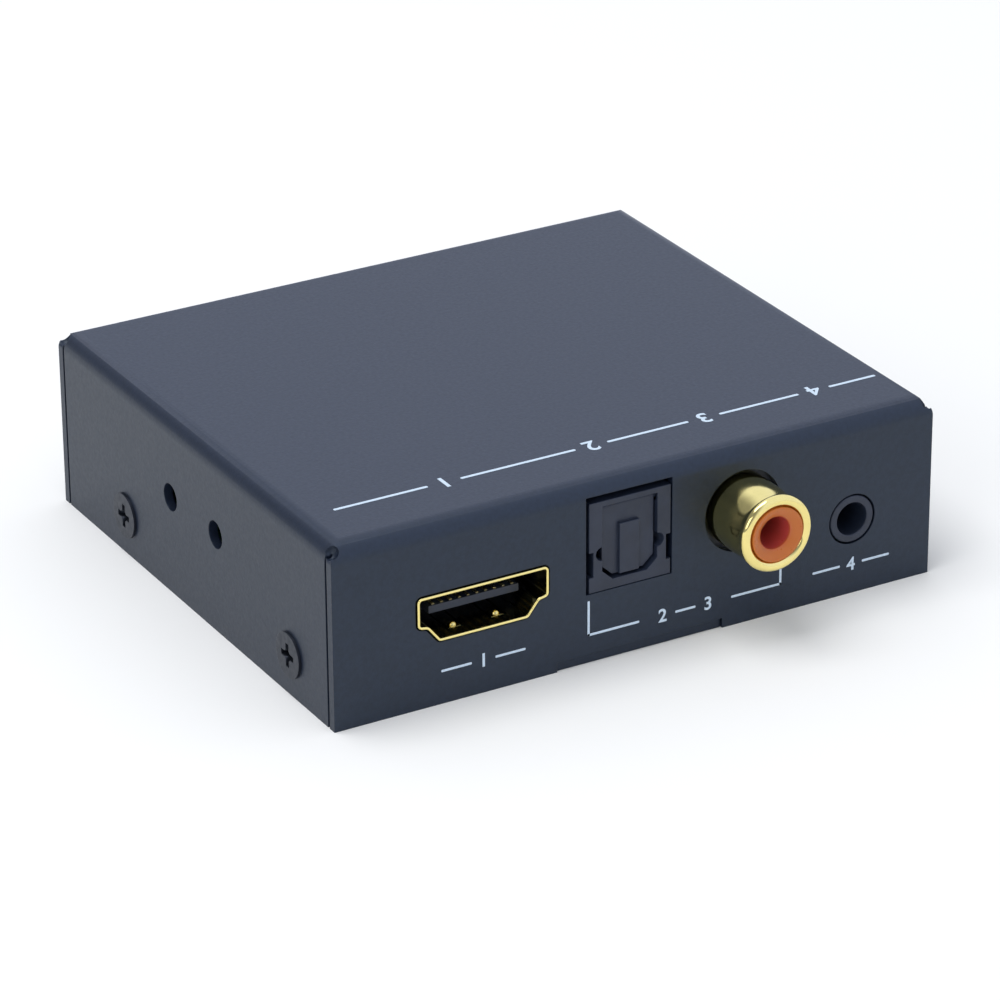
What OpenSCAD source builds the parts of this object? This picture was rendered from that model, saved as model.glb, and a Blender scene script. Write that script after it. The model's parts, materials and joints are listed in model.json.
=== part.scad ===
// Small sheet-metal converter box for digital sound and picture signals, with sockets front and back.
// X runs to the right, Y to the back and Z up. The origin is the centre of the case's underside.

/* [Case] */
// Width of the case
case_w = 70; // [68:0.5:90]
// Depth of the case
case_d = 61.5; // [60:0.5:80]
// Height of the case
case_h = 20; // [19.5:0.5:30]
// Thickness of the sheet metal
sheet_t = 1; // [0.8:0.05:1.2]
// Outside radius of the cover's bends
bend_r = 2; // [1.3:0.1:2.2]
// Slit between a side wall of the cover and its end walls
seam_gap = 0.35; // [0.2:0.05:0.6]
// Radius of the round relief where the bends meet
relief_r = 0.8; // [0.5:0.05:0.9]
// Width of the notch for the base plate's tab in both end walls
tab_w = 19.5; // [10:0.5:26]
// Height of the notch above the sheet that fills it
notch_slack = 0.1; // [0.05:0.05:0.4]
// Setback of the tab behind the end wall's face
tab_recess = 0.3; // [0.1:0.05:0.6]
// Gap between the base plate and the cover round it
plate_gap = 0.1; // [0.05:0.05:0.3]
// Height of the base plate's upturned sides
plate_side_h = 8; // [7:0.5:9]
// Outside radius of the base plate's bends
plate_bend_r = 1.5; // [1.3:0.1:2]

/* [Cover screws] */
// Height of the screws above the underside
cover_screw_z = 4.5; // [4:0.1:5]
// Distance of the front screws from the front wall's face
cover_screw_front = 9.25; // [6:0.25:12]
// Distance of the back screws from the back wall's face
cover_screw_back = 15.25; // [9:0.25:18]
// Radius of the screw head
cover_head_r = 2.45; // [2.2:0.05:2.7]
// Height of the head's rim above the side wall
cover_head_rim = 0.3; // [0.15:0.05:0.5]
// Depth of the head's cone
cover_head_cone = 0.85; // [0.6:0.05:0.85]
// Radius of the screw thread
cover_thread_r = 1.5; // [1.2:0.05:1.6]
// Length of the screw from the face of its head
cover_screw_len = 4; // [3:0.1:4.2]

/* [Side holes] */
// Height of the bracket holes in the side walls
side_hole_z = 11.05; // [10.5:0.05:14]
// Middle of each pair of holes along the depth
side_hole_y = -0.5; // [-5:0.5:5]
// Spacing of the pair
side_hole_spacing = 10.2; // [6:0.1:16]
// Radius of the holes
side_hole_r = 1.5; // [1:0.05:1.8]

/* [Board] */
// Thickness of the circuit board
board_t = 1.6; // [1.2:0.1:1.6]
// Gap from the board's sides to the base plate's sides
board_side_gap = 2.4; // [2:0.1:3]
// Gap from the board's ends to the end walls
board_end_gap = 0.55; // [0.3:0.05:0.8]
// Height of the standoffs
standoff_h = 3.4; // [3:0.1:4]
// Radius of the standoffs
standoff_r = 2.5; // [2.2:0.05:2.7]
// Radius of the pressed foot of a standoff in the base plate
standoff_foot_r = 2; // [1.8:0.05:2.1]
// Distance of the standoffs from the board's side edges
standoff_from_side = 3.2; // [2.9:0.1:4.5]
// Distance of the standoffs from the board's end edges
standoff_from_end = 17; // [16.8:0.1:18.2]
// Thread radius of the board screws
board_thread_r = 1.25; // [1:0.05:1.4]
// Head radius of the board screws
board_head_r = 2.1; // [1.9:0.05:2.3]
// Head height of the board screws
board_head_h = 1.5; // [1:0.1:2]
// Length of the board screws under the head
board_screw_len = 4.2; // [3.5:0.1:4.6]
// How far leads and legs stick out under the board
tail = 1; // [0.5:0.1:1.5]

/* [Video sockets] */
// Place of the front video socket from the middle, as a share of the case's width
video_out_x_share = -0.26; // [-0.28:0.001:-0.23]
// Place of the back video socket from the middle, as a share of the case's width
video_in_x_share = -0.2; // [-0.28:0.001:-0.17]
// Height of the sockets' middle above the board
video_rise = 3.65; // [3.4:0.05:4.5]
// Width of the metal shell
video_w = 14.9; // [14.4:0.1:15.4]
// Height of the metal shell
video_h = 5.2; // [5:0.1:5.6]
// Height of the shell's straight sides
video_side_h = 3.35; // [3:0.05:3.6]
// Width of the shell below the small step
video_step_w = 12.7; // [12:0.1:13]
// Drop of the small step
video_step_h = 0.2; // [0.1:0.05:0.4]
// Width of the shell's narrow edge
video_low_w = 10.1; // [9.5:0.1:10.6]
// Corner radius of the shell
video_corner_r = 0.55; // [0.5:0.05:0.7]
// Wall of the shell
video_shell_t = 0.3; // [0.3:0.05:0.45]
// Length of the shell
video_depth = 11.2; // [10.5:0.1:12.5]
// How far the shell stands out of the wall
video_proud = 0.2; // [0:0.05:0.5]
// Gap between the shell and the wall's opening
video_gap = 0.15; // [0.15:0.05:0.4]
// Width of the tongue
video_tongue_w = 10.2; // [10:0.1:11]
// Thickness of the tongue
video_tongue_t = 0.8; // [0.7:0.05:1]
// Setback of the tongue behind the shell's mouth
video_tongue_setback = 2.1; // [1.5:0.1:3]
// Depth of the socket's mouth in front of the plastic block
video_mouth = 6.5; // [6:0.1:7]
// Spacing of the contacts in each row
video_pitch = 1; // [0.95:0.01:1]
// Width of a contact
video_contact_w = 0.3; // [0.25:0.01:0.35]
// Thickness of a contact
video_contact_t = 0.2; // [0.15:0.01:0.25]
// Spacing of the latch springs in the shell
video_latch_spacing = 4.9; // [4:0.1:5.5]

/* [Optical jack] */
// Place of the optical jack from the middle, as a share of the case's width
optical_x_share = -0.018; // [-0.028:0.001:-0.014]
// Width of the housing
optical_w = 9.5; // [9.2:0.1:10]
// Height of the face in the wall
optical_face_h = 9.9; // [9.6:0.1:10.4]
// Height of the face's lower edge above the board
optical_rise = 1.8; // [1.5:0.05:2]
// Setback of the face behind the wall's face
optical_recess = 0.05; // [0:0.05:0.4]
// Depth of the housing
optical_depth = 13.5; // [13:0.1:14.5]
// Gap left of the face
optical_gap_left = 0.4; // [0.1:0.05:0.5]
// Gap right of the face
optical_gap_right = 0.15; // [0.1:0.05:0.4]
// Gap over the face
optical_gap_top = 0.75; // [0.1:0.05:0.8]
// Gap under the face
optical_gap_bottom = 0.05; // [0.05:0.05:0.4]
// Width of the plug's cavity
optical_open_w = 6.4; // [6.2:0.1:6.6]
// Height of the plug's cavity
optical_open_h = 8.25; // [8:0.05:8.35]
// Height of the cavity's floor over the face's lower edge
optical_sill = 1.05; // [0.9:0.05:1.15]
// Width of the slopes at the cavity's lower corners
optical_slope_w = 1.2; // [0.8:0.1:1.5]
// Height of the slopes at the cavity's lower corners
optical_slope_h = 1.1; // [0.8:0.1:1.5]
// Depth of the plug's cavity
optical_cavity_d = 9.1; // [8.8:0.1:9.4]
// Thickness of the wall behind the cavity
optical_back_t = 1.8; // [1.5:0.1:2]
// Radius of the bore for the plug's tip
optical_bore_r = 1.6; // [1.3:0.05:1.8]
// Height of the bore and of the side grooves over the cavity's floor
optical_bore_rise = 3.05; // [2.8:0.05:3.5]
// Radius of the grooves beside the cavity
optical_groove_r = 0.75; // [0.5:0.05:0.9]
// Depth of the grooves behind the face
optical_groove_d = 2.5; // [1.5:0.1:4]
// Height of the latch cuts in the housing's sides
optical_cut_h = 2.75; // [2:0.05:3.5]
// Height of the latch cuts over the face's lower edge
optical_cut_rise = 1.7; // [1.2:0.05:2.5]
// Depth of the latch cuts into the sides
optical_cut_w = 0.5; // [0.3:0.05:0.6]
// Length of the latch cuts behind the face
optical_cut_d = 3; // [2:0.1:4]

/* [Shutter] */
// Thickness of the shutter
shutter_t = 0.8; // [0.7:0.05:0.9]
// Gap beside the shutter
shutter_side_gap = 0.2; // [0.15:0.01:0.3]
// Gap under the shutter
shutter_bottom_gap = 0.3; // [0.2:0.05:0.5]
// Gap over the shutter's round top edge
shutter_top_gap = 0.1; // [0.08:0.01:0.2]
// Setback of the shutter behind the housing's face
shutter_recess = 0.5; // [0.4:0.05:0.8]
// Width of the raised rib on the shutter
shutter_rib_w = 2.3; // [1.5:0.1:3]
// Height of the raised rib over the shutter's face
shutter_rib_t = 0.4; // [0.2:0.05:0.4]
// Distance of the rib's top from the cavity's roof
shutter_rib_drop = 2.4; // [1.5:0.1:4]
// Radius of the plain hinge pin
shutter_pin_r = 0.35; // [0.3:0.01:0.38]
// Radius of the hinge pin that carries the spring
shutter_spring_pin_r = 0.3; // [0.25:0.01:0.32]
// Length of the plain hinge pin in the housing
shutter_pin_len = 0.9; // [0.6:0.05:1.1]
// Running gap round the hinge pins
hinge_gap = 0.05; // [0.03:0.01:0.1]
// Wire diameter of the return spring
spring_wire = 0.16; // [0.12:0.01:0.18]
// Radius of the spring's coil at the middle of the wire
spring_r = 0.47; // [0.44:0.01:0.5]
// Number of turns of the spring
spring_turns = 3; // [2:1:3]
// Length of the spring's arm behind the shutter
spring_arm = 2.2; // [1.5:0.1:3]

/* [Coaxial jack] */
// Place of the coaxial jack from the middle, as a share of the case's width
coax_x_share = 0.172; // [0.165:0.001:0.178]
// Height of the jack's axis above the board
coax_rise = 6.7; // [6.4:0.05:7]
// Radius of the hole in the wall
coax_hole_r = 4.5; // [4.4:0.05:4.8]
// How far the barrel stands out of the wall
coax_reach = 6.6; // [5:0.1:9]
// Radius of the barrel
coax_barrel_r = 4; // [3.9:0.01:4.1]
// Radius of the neck behind the lip
coax_neck_r = 3.85; // [3.7:0.01:3.9]
// Length of the neck
coax_neck_len = 1.7; // [1:0.1:2.5]
// Outside radius of the rounded lip
coax_lip_r = 4.15; // [4.1:0.01:4.3]
// Radius of the barrel's bore
coax_inner_r = 3; // [2.9:0.01:3.1]
// Radius of the flange behind the wall
coax_flange_r = 4.9; // [4.7:0.05:5]
// Thickness of the flange
coax_flange_t = 0.6; // [0.4:0.05:0.8]
// Length of the stem in the housing
coax_stem_len = 3; // [2:0.1:4]
// Wall of the stem
coax_stem_t = 0.4; // [0.3:0.05:0.5]
// Setback of the insert behind the lip
coax_insert_setback = 0.25; // [0.1:0.05:0.6]
// Rim of the insert round its funnel
coax_insert_rim = 0.2; // [0.1:0.05:0.5]
// Depth of the funnel
coax_funnel_d = 1.3; // [0.8:0.1:2]
// Radius of the insert's bore
coax_bore_r = 1.75; // [1.7:0.01:1.85]
// Distance of the centre contact behind the lip
coax_contact_setback = 4.6; // [3.5:0.1:6]
// Inside radius of the centre contact
coax_contact_r = 1.7; // [1.6:0.01:1.75]
// Wall of the centre contact
coax_contact_t = 0.4; // [0.3:0.01:0.45]
// Width of the slits in the centre contact
coax_slit_w = 0.4; // [0.3:0.05:0.6]
// Width of the housing
coax_w = 10.4; // [10.2:0.1:11]
// Height of the housing above the jack's axis
coax_top = 5; // [4.8:0.1:5.2]
// Depth of the housing
coax_housing_d = 9; // [8.5:0.1:10]
// Width of the earth tab
coax_tab_w = 3; // [2:0.1:4]
// Thickness of the earth tab and the contact's tail
coax_tab_t = 0.4; // [0.3:0.05:0.5]

/* [Stereo jack] */
// Place of the stereo jack from the middle, as a share of the case's width
stereo_x_share = 0.362; // [0.343:0.001:0.37]
// Height of the jack's axis above the board
stereo_rise = 2.5; // [2.4:0.05:3]
// Radius of the hole in the wall
stereo_hole_r = 2.8; // [2.75:0.05:3]
// Radius of the round nose in the wall
stereo_nose_r = 2.6; // [2.4:0.05:2.65]
// Radius of the plug's bore
stereo_bore_r = 1.8; // [1.76:0.01:1.9]
// Depth of the plug's bore
stereo_bore_d = 13; // [12:0.1:13.4]
// Width of the housing
stereo_w = 6.6; // [6.4:0.1:7]
// Height of the housing over the jack's axis
stereo_top = 2.5; // [2.4:0.05:3]
// Depth of the housing, nose included
stereo_depth = 14; // [13.6:0.1:14.4]

/* [Power jack] */
// Place of the power jack from the middle, as a share of the case's width
dc_x_share = 0.343; // [0.315:0.001:0.35]
// Height of the jack's axis above the board
dc_rise = 6.3; // [6.1:0.05:6.6]
// Radius of the hole in the wall
dc_hole_r = 4.1; // [4.05:0.05:4.5]
// Radius of the round nose in the wall
dc_nose_r = 3.9; // [3.7:0.05:4]
// Radius of the plug's bore
dc_bore_r = 3.15; // [2.9:0.05:3.2]
// Depth of the plug's bore
dc_bore_d = 9.6; // [9:0.1:10]
// Radius of the centre pin
dc_pin_r = 1; // [0.9:0.05:1.2]
// Setback of the pin's tip behind the face
dc_pin_setback = 1.2; // [0.5:0.1:3]
// Width of the housing
dc_w = 9; // [8.6:0.1:9.4]
// Height of the housing over the jack's axis
dc_top = 4.7; // [4.4:0.1:5]
// Depth of the housing, nose included
dc_depth = 14; // [13.5:0.1:14.4]

/* [Mode switch] */
// Place of the mode switch from the middle, as a share of the case's width
switch_x_share = 0.057; // [0.043:0.001:0.071]
// Height of the lever's middle above the board
switch_rise = 2.5; // [2.4:0.05:3]
// Width of the switch's metal frame
switch_w = 12; // [11.6:0.1:12.6]
// Height of the frame
switch_h = 4.8; // [4.4:0.1:4.8]
// Depth of the frame
switch_d = 4.6; // [4.4:0.1:5]
// Sheet of the frame
switch_sheet_t = 0.3; // [0.25:0.01:0.35]
// Travel of the lever to each side
switch_travel = 2; // [1.5:0.1:2]
// Width of the lever
switch_lever_w = 2; // [1.5:0.1:2.2]
// Height of the lever
switch_lever_h = 1.6; // [1.2:0.1:1.8]
// How far the lever stands out of the wall
switch_lever_reach = 2; // [1:0.1:4]
// Height of the slot in the wall
switch_slot_h = 2.6; // [2.4:0.1:3]
// Extra length of the slot at each end of the travel
switch_slot_slack = 0.8; // [0.5:0.1:1]

/* [Power light] */
// Place of the power light from the middle, as a share of the case's width
led_x_share = 0.209; // [0.2:0.001:0.214]
// Height of the light's axis above the board
led_rise = 2.6; // [2.4:0.1:3]
// Radius of the light
led_r = 1.5; // [1.4:0.05:1.6]
// Gap round the light in the wall
led_gap = 0.1; // [0.05:0.05:0.3]
// How far the dome stands out of the wall
led_proud = 0.8; // [0.4:0.1:1.4]
// Length of the light
led_len = 5.3; // [4.5:0.1:6]

/* [Chips] */
// Side of the video chip's body
video_chip_side = 10; // [9:0.5:10.5]
// Side of the controller chip's body
controller_side = 7; // [6:0.5:7.5]
// Length of the audio chip's body
audio_chip_len = 6.5; // [6:0.1:7]
// Width of the audio chip's body
audio_chip_w = 4.4; // [4:0.1:4.6]
// Length of the memory chip's body
memory_chip_len = 4.9; // [4.7:0.1:5.2]
// Width of the memory chip's body
memory_chip_w = 3.9; // [3.6:0.1:4.1]
// Height of a flat chip's body
chip_h = 1.3; // [0.9:0.1:1.6]
// Lead pitch of the fine chips
fine_pitch = 0.5; // [0.45:0.01:0.5]
// Lead pitch of the memory chip
coarse_pitch = 1.27; // [1.2:0.01:1.27]

/* [Other board parts] */
// Length of the crystal can
crystal_len = 11; // [9:0.1:11.5]
// Width of the crystal can
crystal_w = 4.6; // [4:0.1:4.8]
// Height of the crystal can
crystal_h = 3.5; // [2.5:0.1:4]
// Side of the power coil
coil_side = 6; // [5:0.1:7]
// Height of the power coil
coil_h = 3; // [2:0.1:4]
// Radius of the capacitor cans
can_r = 2.5; // [2:0.1:2.6]
// Height of the capacitor cans
can_h = 5.2; // [4:0.1:6]
// Side of the cans' plastic feet
can_foot_side = 5.3; // [5.2:0.1:5.4]
// Height of the cans' plastic feet
can_foot_h = 1; // [0.6:0.1:1.4]
// Length of the small chip parts
chip_part_len = 1.6; // [1.4:0.1:1.7]
// Width of the small chip parts
chip_part_w = 0.8; // [0.6:0.1:0.9]
// Height of the small chip parts
chip_part_h = 0.6; // [0.4:0.05:0.9]

/* [Hidden] */

// Facets of large, middle and small round faces
large_fn = 96;
middle_fn = 64;
small_fn = 32;
// Steps of a rounded corner in an outline
corner_steps = 5;
// Overrun of every cut
over = 0.4;
// Gap of a piece that is pressed or slid into another
fit = 0.03;
// Gap round a lead or peg in the board
lead_gap = 0.15;
// Gap between the inside of a wall and the jacks behind it
wall_gap = 0.2;

front_y = -case_d / 2;
video_out_x = video_out_x_share * case_w;
video_in_x = video_in_x_share * case_w;
optical_x = optical_x_share * case_w;
coax_x = coax_x_share * case_w;
stereo_x = stereo_x_share * case_w;
dc_x = dc_x_share * case_w;
switch_x = switch_x_share * case_w;
led_x = led_x_share * case_w;
wall_inner_x = case_w / 2 - sheet_t;
plate_x = wall_inner_x - plate_gap;
plate_inner_x = plate_x - sheet_t;
board_w = 2 * (plate_inner_x - board_side_gap);
board_d = case_d - 2 * (sheet_t + board_end_gap);
standoff_x = board_w / 2 - standoff_from_side;
standoff_y = board_d / 2 - standoff_from_end;
board_z = sheet_t + standoff_h;
board_top = board_z + board_t;
tail_z = board_z - tail;
behind_wall = sheet_t + wall_gap;

// Draws an outline in x and z out to the back
module along_y(length) translate([0, length, 0]) rotate([90, 0, 0]) linear_extrude(length) children();
// Draws an outline in y and z out to the right
module along_x(length) rotate([90, 0, 90]) linear_extrude(length) children();
// Draws an outline in x and z out to both ends of the depth
module across_y(length) translate([0, -length / 2, 0]) along_y(length) children();
// Draws an outline in y and z out to both ends of the width
module across_x(length) translate([-length / 2, 0, 0]) along_x(length) children();
// A round rod that starts at the origin and runs to the back
module rod_y(r, length, fn = middle_fn) rotate([-90, 0, 0]) cylinder(r = r, h = length, $fn = fn);
// A round rod that starts at the origin and runs to the right
module rod_x(r, length, fn = middle_fn) rotate([0, 90, 0]) cylinder(r = r, h = length, $fn = fn);
// A block between two corners
module block(low, high) translate(low) cube(high - low);
// A block that is centred in x
module bar(w, y0, y1, z0, z1) block([-w / 2, y0, z0], [w / 2, y1, z1]);
// A turned piece about an axis that runs to the back; its outline is radius and distance
module turned_y(fn = large_fn) rotate([-90, 0, 0]) rotate_extrude($fn = fn) children();
// Front and back walls share one frame: x along the wall, y = 0 on its outer face, y inwards
module at_front(x) translate([x, front_y, 0]) children();
module at_back(x) translate([x, -front_y, 0]) rotate([0, 0, 180]) children();
// Both sides, or both ends, of the case
module both_sides() for (side = [0, 1]) mirror([side, 0, 0]) children();
module both_ends() for (end = [0, 1]) mirror([0, end, 0]) children();

// Evenly spaced places about zero
function spread(count, pitch) = [for (i = [0 : count - 1]) (i - (count - 1) / 2) * pitch];

// Outlines are lists of [x, y, corner radius], drawn anticlockwise
function unit(v) = v / norm(v);
function flat(p) = [p.x, p.y];
function turned_in(a, b, c) = cross(b - a, c - b) > 0;
function half_angle(a, b, c) = acos(unit(a - b) * unit(c - b)) / 2;
function bisector(a, b, c) = unit(unit(a - b) + unit(c - b));
function short_turn(t) = t > 180 ? t - 360 : t < -180 ? t + 360 : t;
function corner(a, b, c, r, steps) =
    let (reach = r / tan(half_angle(a, b, c)),
        middle = b + bisector(a, b, c) * r / sin(half_angle(a, b, c)),
        start = b + unit(a - b) * reach - middle,
        end = b + unit(c - b) * reach - middle,
        from = atan2(start.y, start.x),
        turn = short_turn(atan2(end.y, end.x) - from))
    [for (i = [0 : steps]) middle + r * [cos(from + turn * i / steps), sin(from + turn * i / steps)]];
function rounded(points, steps = corner_steps) =
    let (n = len(points))
    [for (i = [0 : n - 1]) each corner(flat(points[(i + n - 1) % n]), flat(points[i]),
        flat(points[(i + 1) % n]), points[i][2], steps)];
// The outline drawn parallel to itself, a distance d inside
function inset(points, d) =
    let (n = len(points))
    [for (i = [0 : n - 1])
        let (a = flat(points[(i + n - 1) % n]), b = flat(points[i]), c = flat(points[(i + 1) % n]),
            side = turned_in(a, b, c) ? 1 : -1,
            moved = b + side * bisector(a, b, c) * d / sin(half_angle(a, b, c)))
        [moved.x, moved.y, points[i][2] - side * d]];

// A block whose two upper corners are rounded, standing on y = 0 and centred on x = 0
module arch(w, h, r) {
    translate([-w / 2, 0]) square([w, h - r]);
    translate([-w / 2 + r, 0]) square([w - 2 * r, h]);
    for (side = [-1, 1]) translate([side * (w / 2 - r), h - r]) circle(r, $fn = middle_fn);
}
// The space under a wall of that shape, open below
module arch_space(w, h, r) translate([0, -over]) arch(w - 2 * sheet_t, h - sheet_t + over, r - sheet_t);

cover_screw_ys = [front_y + cover_screw_front, -front_y - cover_screw_back];
cover_shank_x = case_w / 2 - cover_head_cone;
// The left and right cover screws, each with its axis along x and its head outside
module at_cover_screws() both_sides() for (y = cover_screw_ys) translate([case_w / 2, y, cover_screw_z])
    rotate([0, -90, 0]) children();

// Place of the round reliefs from the side, end and top faces, as shares of the bend radius
relief_side_share = 0.2;
relief_end_share = 0.4;
relief_top_share = 0.4;
// Cover: top, two sides and two ends bent from one sheet
module cover() color("#3d4352") difference() {
    intersection() {
        union() {
            difference() {
                across_y(case_d - 2 * (sheet_t + seam_gap)) arch(case_w, case_h, bend_r);
                across_y(case_d) arch_space(case_w, case_h, bend_r);
            }
            difference() {
                across_x(case_w) arch(case_d, case_h, bend_r);
                across_x(case_w + 2 * over) arch_space(case_d, case_h, bend_r);
            }
        }
        across_x(case_w) arch(case_d, case_h, bend_r);
        across_y(case_d) arch(case_w, case_h, bend_r);
    }
    both_sides() both_ends()
        translate([case_w / 2 - relief_side_share * bend_r, -front_y - relief_end_share * bend_r,
            case_h - relief_top_share * bend_r]) sphere(relief_r, $fn = small_fn);
    bar(tab_w, front_y - over, -front_y + over, -over, sheet_t + notch_slack);
    both_sides() for (side = [-1, 1])
        translate([wall_inner_x - over, side_hole_y + side * side_hole_spacing / 2, side_hole_z])
            rod_x(side_hole_r, sheet_t + 2 * over);
    at_cover_screws() cover_screw_seat();
    at_front(video_out_x) video_opening();
    at_front(optical_x) optical_opening();
    at_front(coax_x) round_opening(coax_rise, coax_hole_r);
    at_front(stereo_x) round_opening(stereo_rise, stereo_hole_r);
    at_back(video_in_x) video_opening();
    at_back(dc_x) round_opening(dc_rise, dc_hole_r);
    at_back(led_x) round_opening(led_rise, led_r + led_gap);
    at_back(switch_x) switch_opening();
}
module round_opening(rise, r) translate([0, -over, board_top + rise]) rod_y(r, sheet_t + 2 * over, large_fn);
// Countersink and hole for a cover screw, with the outer face of the side wall at z = 0
module cover_screw_seat() {
    translate([0, 0, -over]) cylinder(r = cover_head_r + fit, h = over, $fn = middle_fn);
    cylinder(r1 = cover_head_r + fit, r2 = cover_thread_r + 2 * fit, h = cover_head_cone, $fn = middle_fn);
    cylinder(r = cover_thread_r + 2 * fit, h = sheet_t + over, $fn = middle_fn);
}

// Base plate: a floor with upturned sides, and a tab in the notch of each end wall
module base_plate() color("#363b48") difference() {
    union() {
        across_y(case_d - 2 * (sheet_t + plate_gap)) difference() {
            plate_up() arch(2 * plate_x, plate_side_h, plate_bend_r);
            plate_up() arch_space(2 * plate_x, plate_side_h, plate_bend_r);
        }
        bar(tab_w - 2 * plate_gap, front_y + tab_recess, -front_y - tab_recess, 0, sheet_t);
    }
    at_cover_screws() cylinder(r = cover_thread_r + 2 * fit, h = cover_screw_len + sheet_t, $fn = middle_fn);
    at_standoffs() translate([0, 0, -over])
        cylinder(r = standoff_foot_r + fit, h = sheet_t + 2 * over, $fn = middle_fn);
}
// Turns an arch over, so that its sides stand up
module plate_up() mirror([0, 1, 0]) translate([0, -plate_side_h]) children();

// A cross recess that is sunk from z = 0 upwards
cross_w_share = 0.13;
cross_len_share = 0.52;
cross_depth_share = 0.3;
module cross_recess(head_r) {
    for (turn = [0, 90]) rotate(turn) translate([-head_r * cross_len_share, -head_r * cross_w_share, -over])
        cube([2 * head_r * cross_len_share, 2 * head_r * cross_w_share, over + head_r * cross_depth_share]);
    cylinder(r1 = head_r * cross_len_share / 2, r2 = 0, h = head_r * cross_len_share, $fn = small_fn);
}

// Cover screws: low countersunk heads whose rims stand a little proud of the side walls
module cover_screws() color("#2b2f3a") at_cover_screws() difference() {
    union() {
        translate([0, 0, -cover_head_rim]) cylinder(r = cover_head_r, h = cover_head_rim, $fn = middle_fn);
        cylinder(r1 = cover_head_r, r2 = cover_thread_r, h = cover_head_cone, $fn = middle_fn);
        cylinder(r = cover_thread_r, h = cover_screw_len - cover_head_rim, $fn = middle_fn);
    }
    translate([0, 0, -cover_head_rim]) cross_recess(cover_head_r);
}

module at_standoffs() for (x = [-1, 1], y = [-1, 1]) translate([x * standoff_x, y * standoff_y, 0]) children();
// Board standoffs: threaded posts pressed into the base plate
module board_standoffs() color("#b9bcc0") at_standoffs() difference() {
    union() {
        cylinder(r = standoff_foot_r, h = sheet_t, $fn = middle_fn);
        translate([0, 0, sheet_t]) cylinder(r = standoff_r, h = standoff_h, $fn = middle_fn);
    }
    translate([0, 0, board_top - board_screw_len - over])
        cylinder(r = board_thread_r + fit, h = board_z, $fn = middle_fn);
}

// Board screws: pan heads with a domed edge
module board_screws() color("#c9ccd0") at_standoffs() translate([0, 0, board_top]) difference() {
    union() {
        translate([0, 0, -board_screw_len]) cylinder(r = board_thread_r, h = board_screw_len, $fn = middle_fn);
        cylinder(r = board_head_r, h = board_head_h / 2, $fn = middle_fn);
        translate([0, 0, board_head_h / 2]) cylinder(r1 = board_head_r, r2 = board_head_r - board_head_h / 2,
            h = board_head_h / 2, $fn = middle_fn);
    }
    translate([0, 0, board_head_h]) mirror([0, 0, 1]) cross_recess(board_head_r);
}

// Circuit board, drilled for its screws and for every lead, leg and peg
module circuit_board() color("#1f5a3a") difference() {
    block([-board_w / 2, -board_d / 2, board_z], [board_w / 2, board_d / 2, board_top]);
    at_standoffs() translate([0, 0, board_z - over])
        cylinder(r = board_thread_r + lead_gap, h = board_t + 2 * over, $fn = middle_fn);
    at_front(video_out_x) video_board_cuts();
    at_front(optical_x) optical_board_cuts();
    at_front(coax_x) coax_board_cuts();
    at_front(stereo_x) stereo_board_cuts();
    at_back(video_in_x) video_board_cuts();
    at_back(dc_x) power_board_cuts();
    at_back(switch_x) switch_board_cuts();
    at_back(led_x) led_board_cuts();
}
// A square lead's way through the board, about the lead's own middle
module lead_cut(x, y, w, d) block([x - w / 2 - lead_gap, y - d / 2 - lead_gap, board_z - over],
    [x + w / 2 + lead_gap, y + d / 2 + lead_gap, board_top + over]);
module peg(x, y, r) translate([x, y, board_z]) cylinder(r = r, h = board_t + over, $fn = small_fn);
module peg_cut(x, y, r) translate([x, y, board_z - over])
    cylinder(r = r + lead_gap, h = board_t + 2 * over, $fn = small_fn);

// Video sockets, the same in the front and the back wall
video_z = board_top + video_rise;
video_points = [[video_w / 2, video_h / 2, video_corner_r], [-video_w / 2, video_h / 2, video_corner_r],
    [-video_w / 2, video_h / 2 - video_side_h, video_corner_r],
    [-video_step_w / 2, video_h / 2 - video_side_h - video_step_h, video_corner_r],
    [-video_low_w / 2, -video_h / 2, video_corner_r], [video_low_w / 2, -video_h / 2, video_corner_r],
    [video_step_w / 2, video_h / 2 - video_side_h - video_step_h, video_corner_r],
    [video_w / 2, video_h / 2 - video_side_h, video_corner_r]];
// Sizes of the shell's legs and of the plastic foot
video_leg_w = 1;
video_leg_ys = [2.6, 8.6];
video_foot_w = 9;
video_foot_y = 7.4;
video_peg_r = 0.5;
video_latch_w = 1.4;
video_latch_len = 4.4;
video_latch_start = 1.4;
video_latch_slit = 0.25;
video_latch_bump_r = 0.45;
video_latch_bump_start = 0.1;
video_contact_foot = 0.8;
video_contact_inset = 0.2;
video_shell_y = -video_proud;
video_end_y = video_shell_y + video_depth;
video_block_y = video_shell_y + video_mouth;
video_tongue_y = video_shell_y + video_tongue_setback;
video_bump_y = video_shell_y + video_latch_start + video_latch_slit + video_latch_bump_start + video_latch_bump_r;

module video_opening() translate([0, -over, video_z]) along_y(sheet_t + 2 * over)
    polygon(rounded(inset(video_points, -video_gap)));
module video_board_cuts() {
    for (side = [-1, 1], y = video_leg_ys)
        lead_cut(side * (video_w - video_shell_t) / 2, y, video_shell_t, video_leg_w);
    for (side = [-1, 1]) peg_cut(side * video_foot_w / 4, (video_foot_y + video_end_y) / 2, video_peg_r);
}
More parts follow.
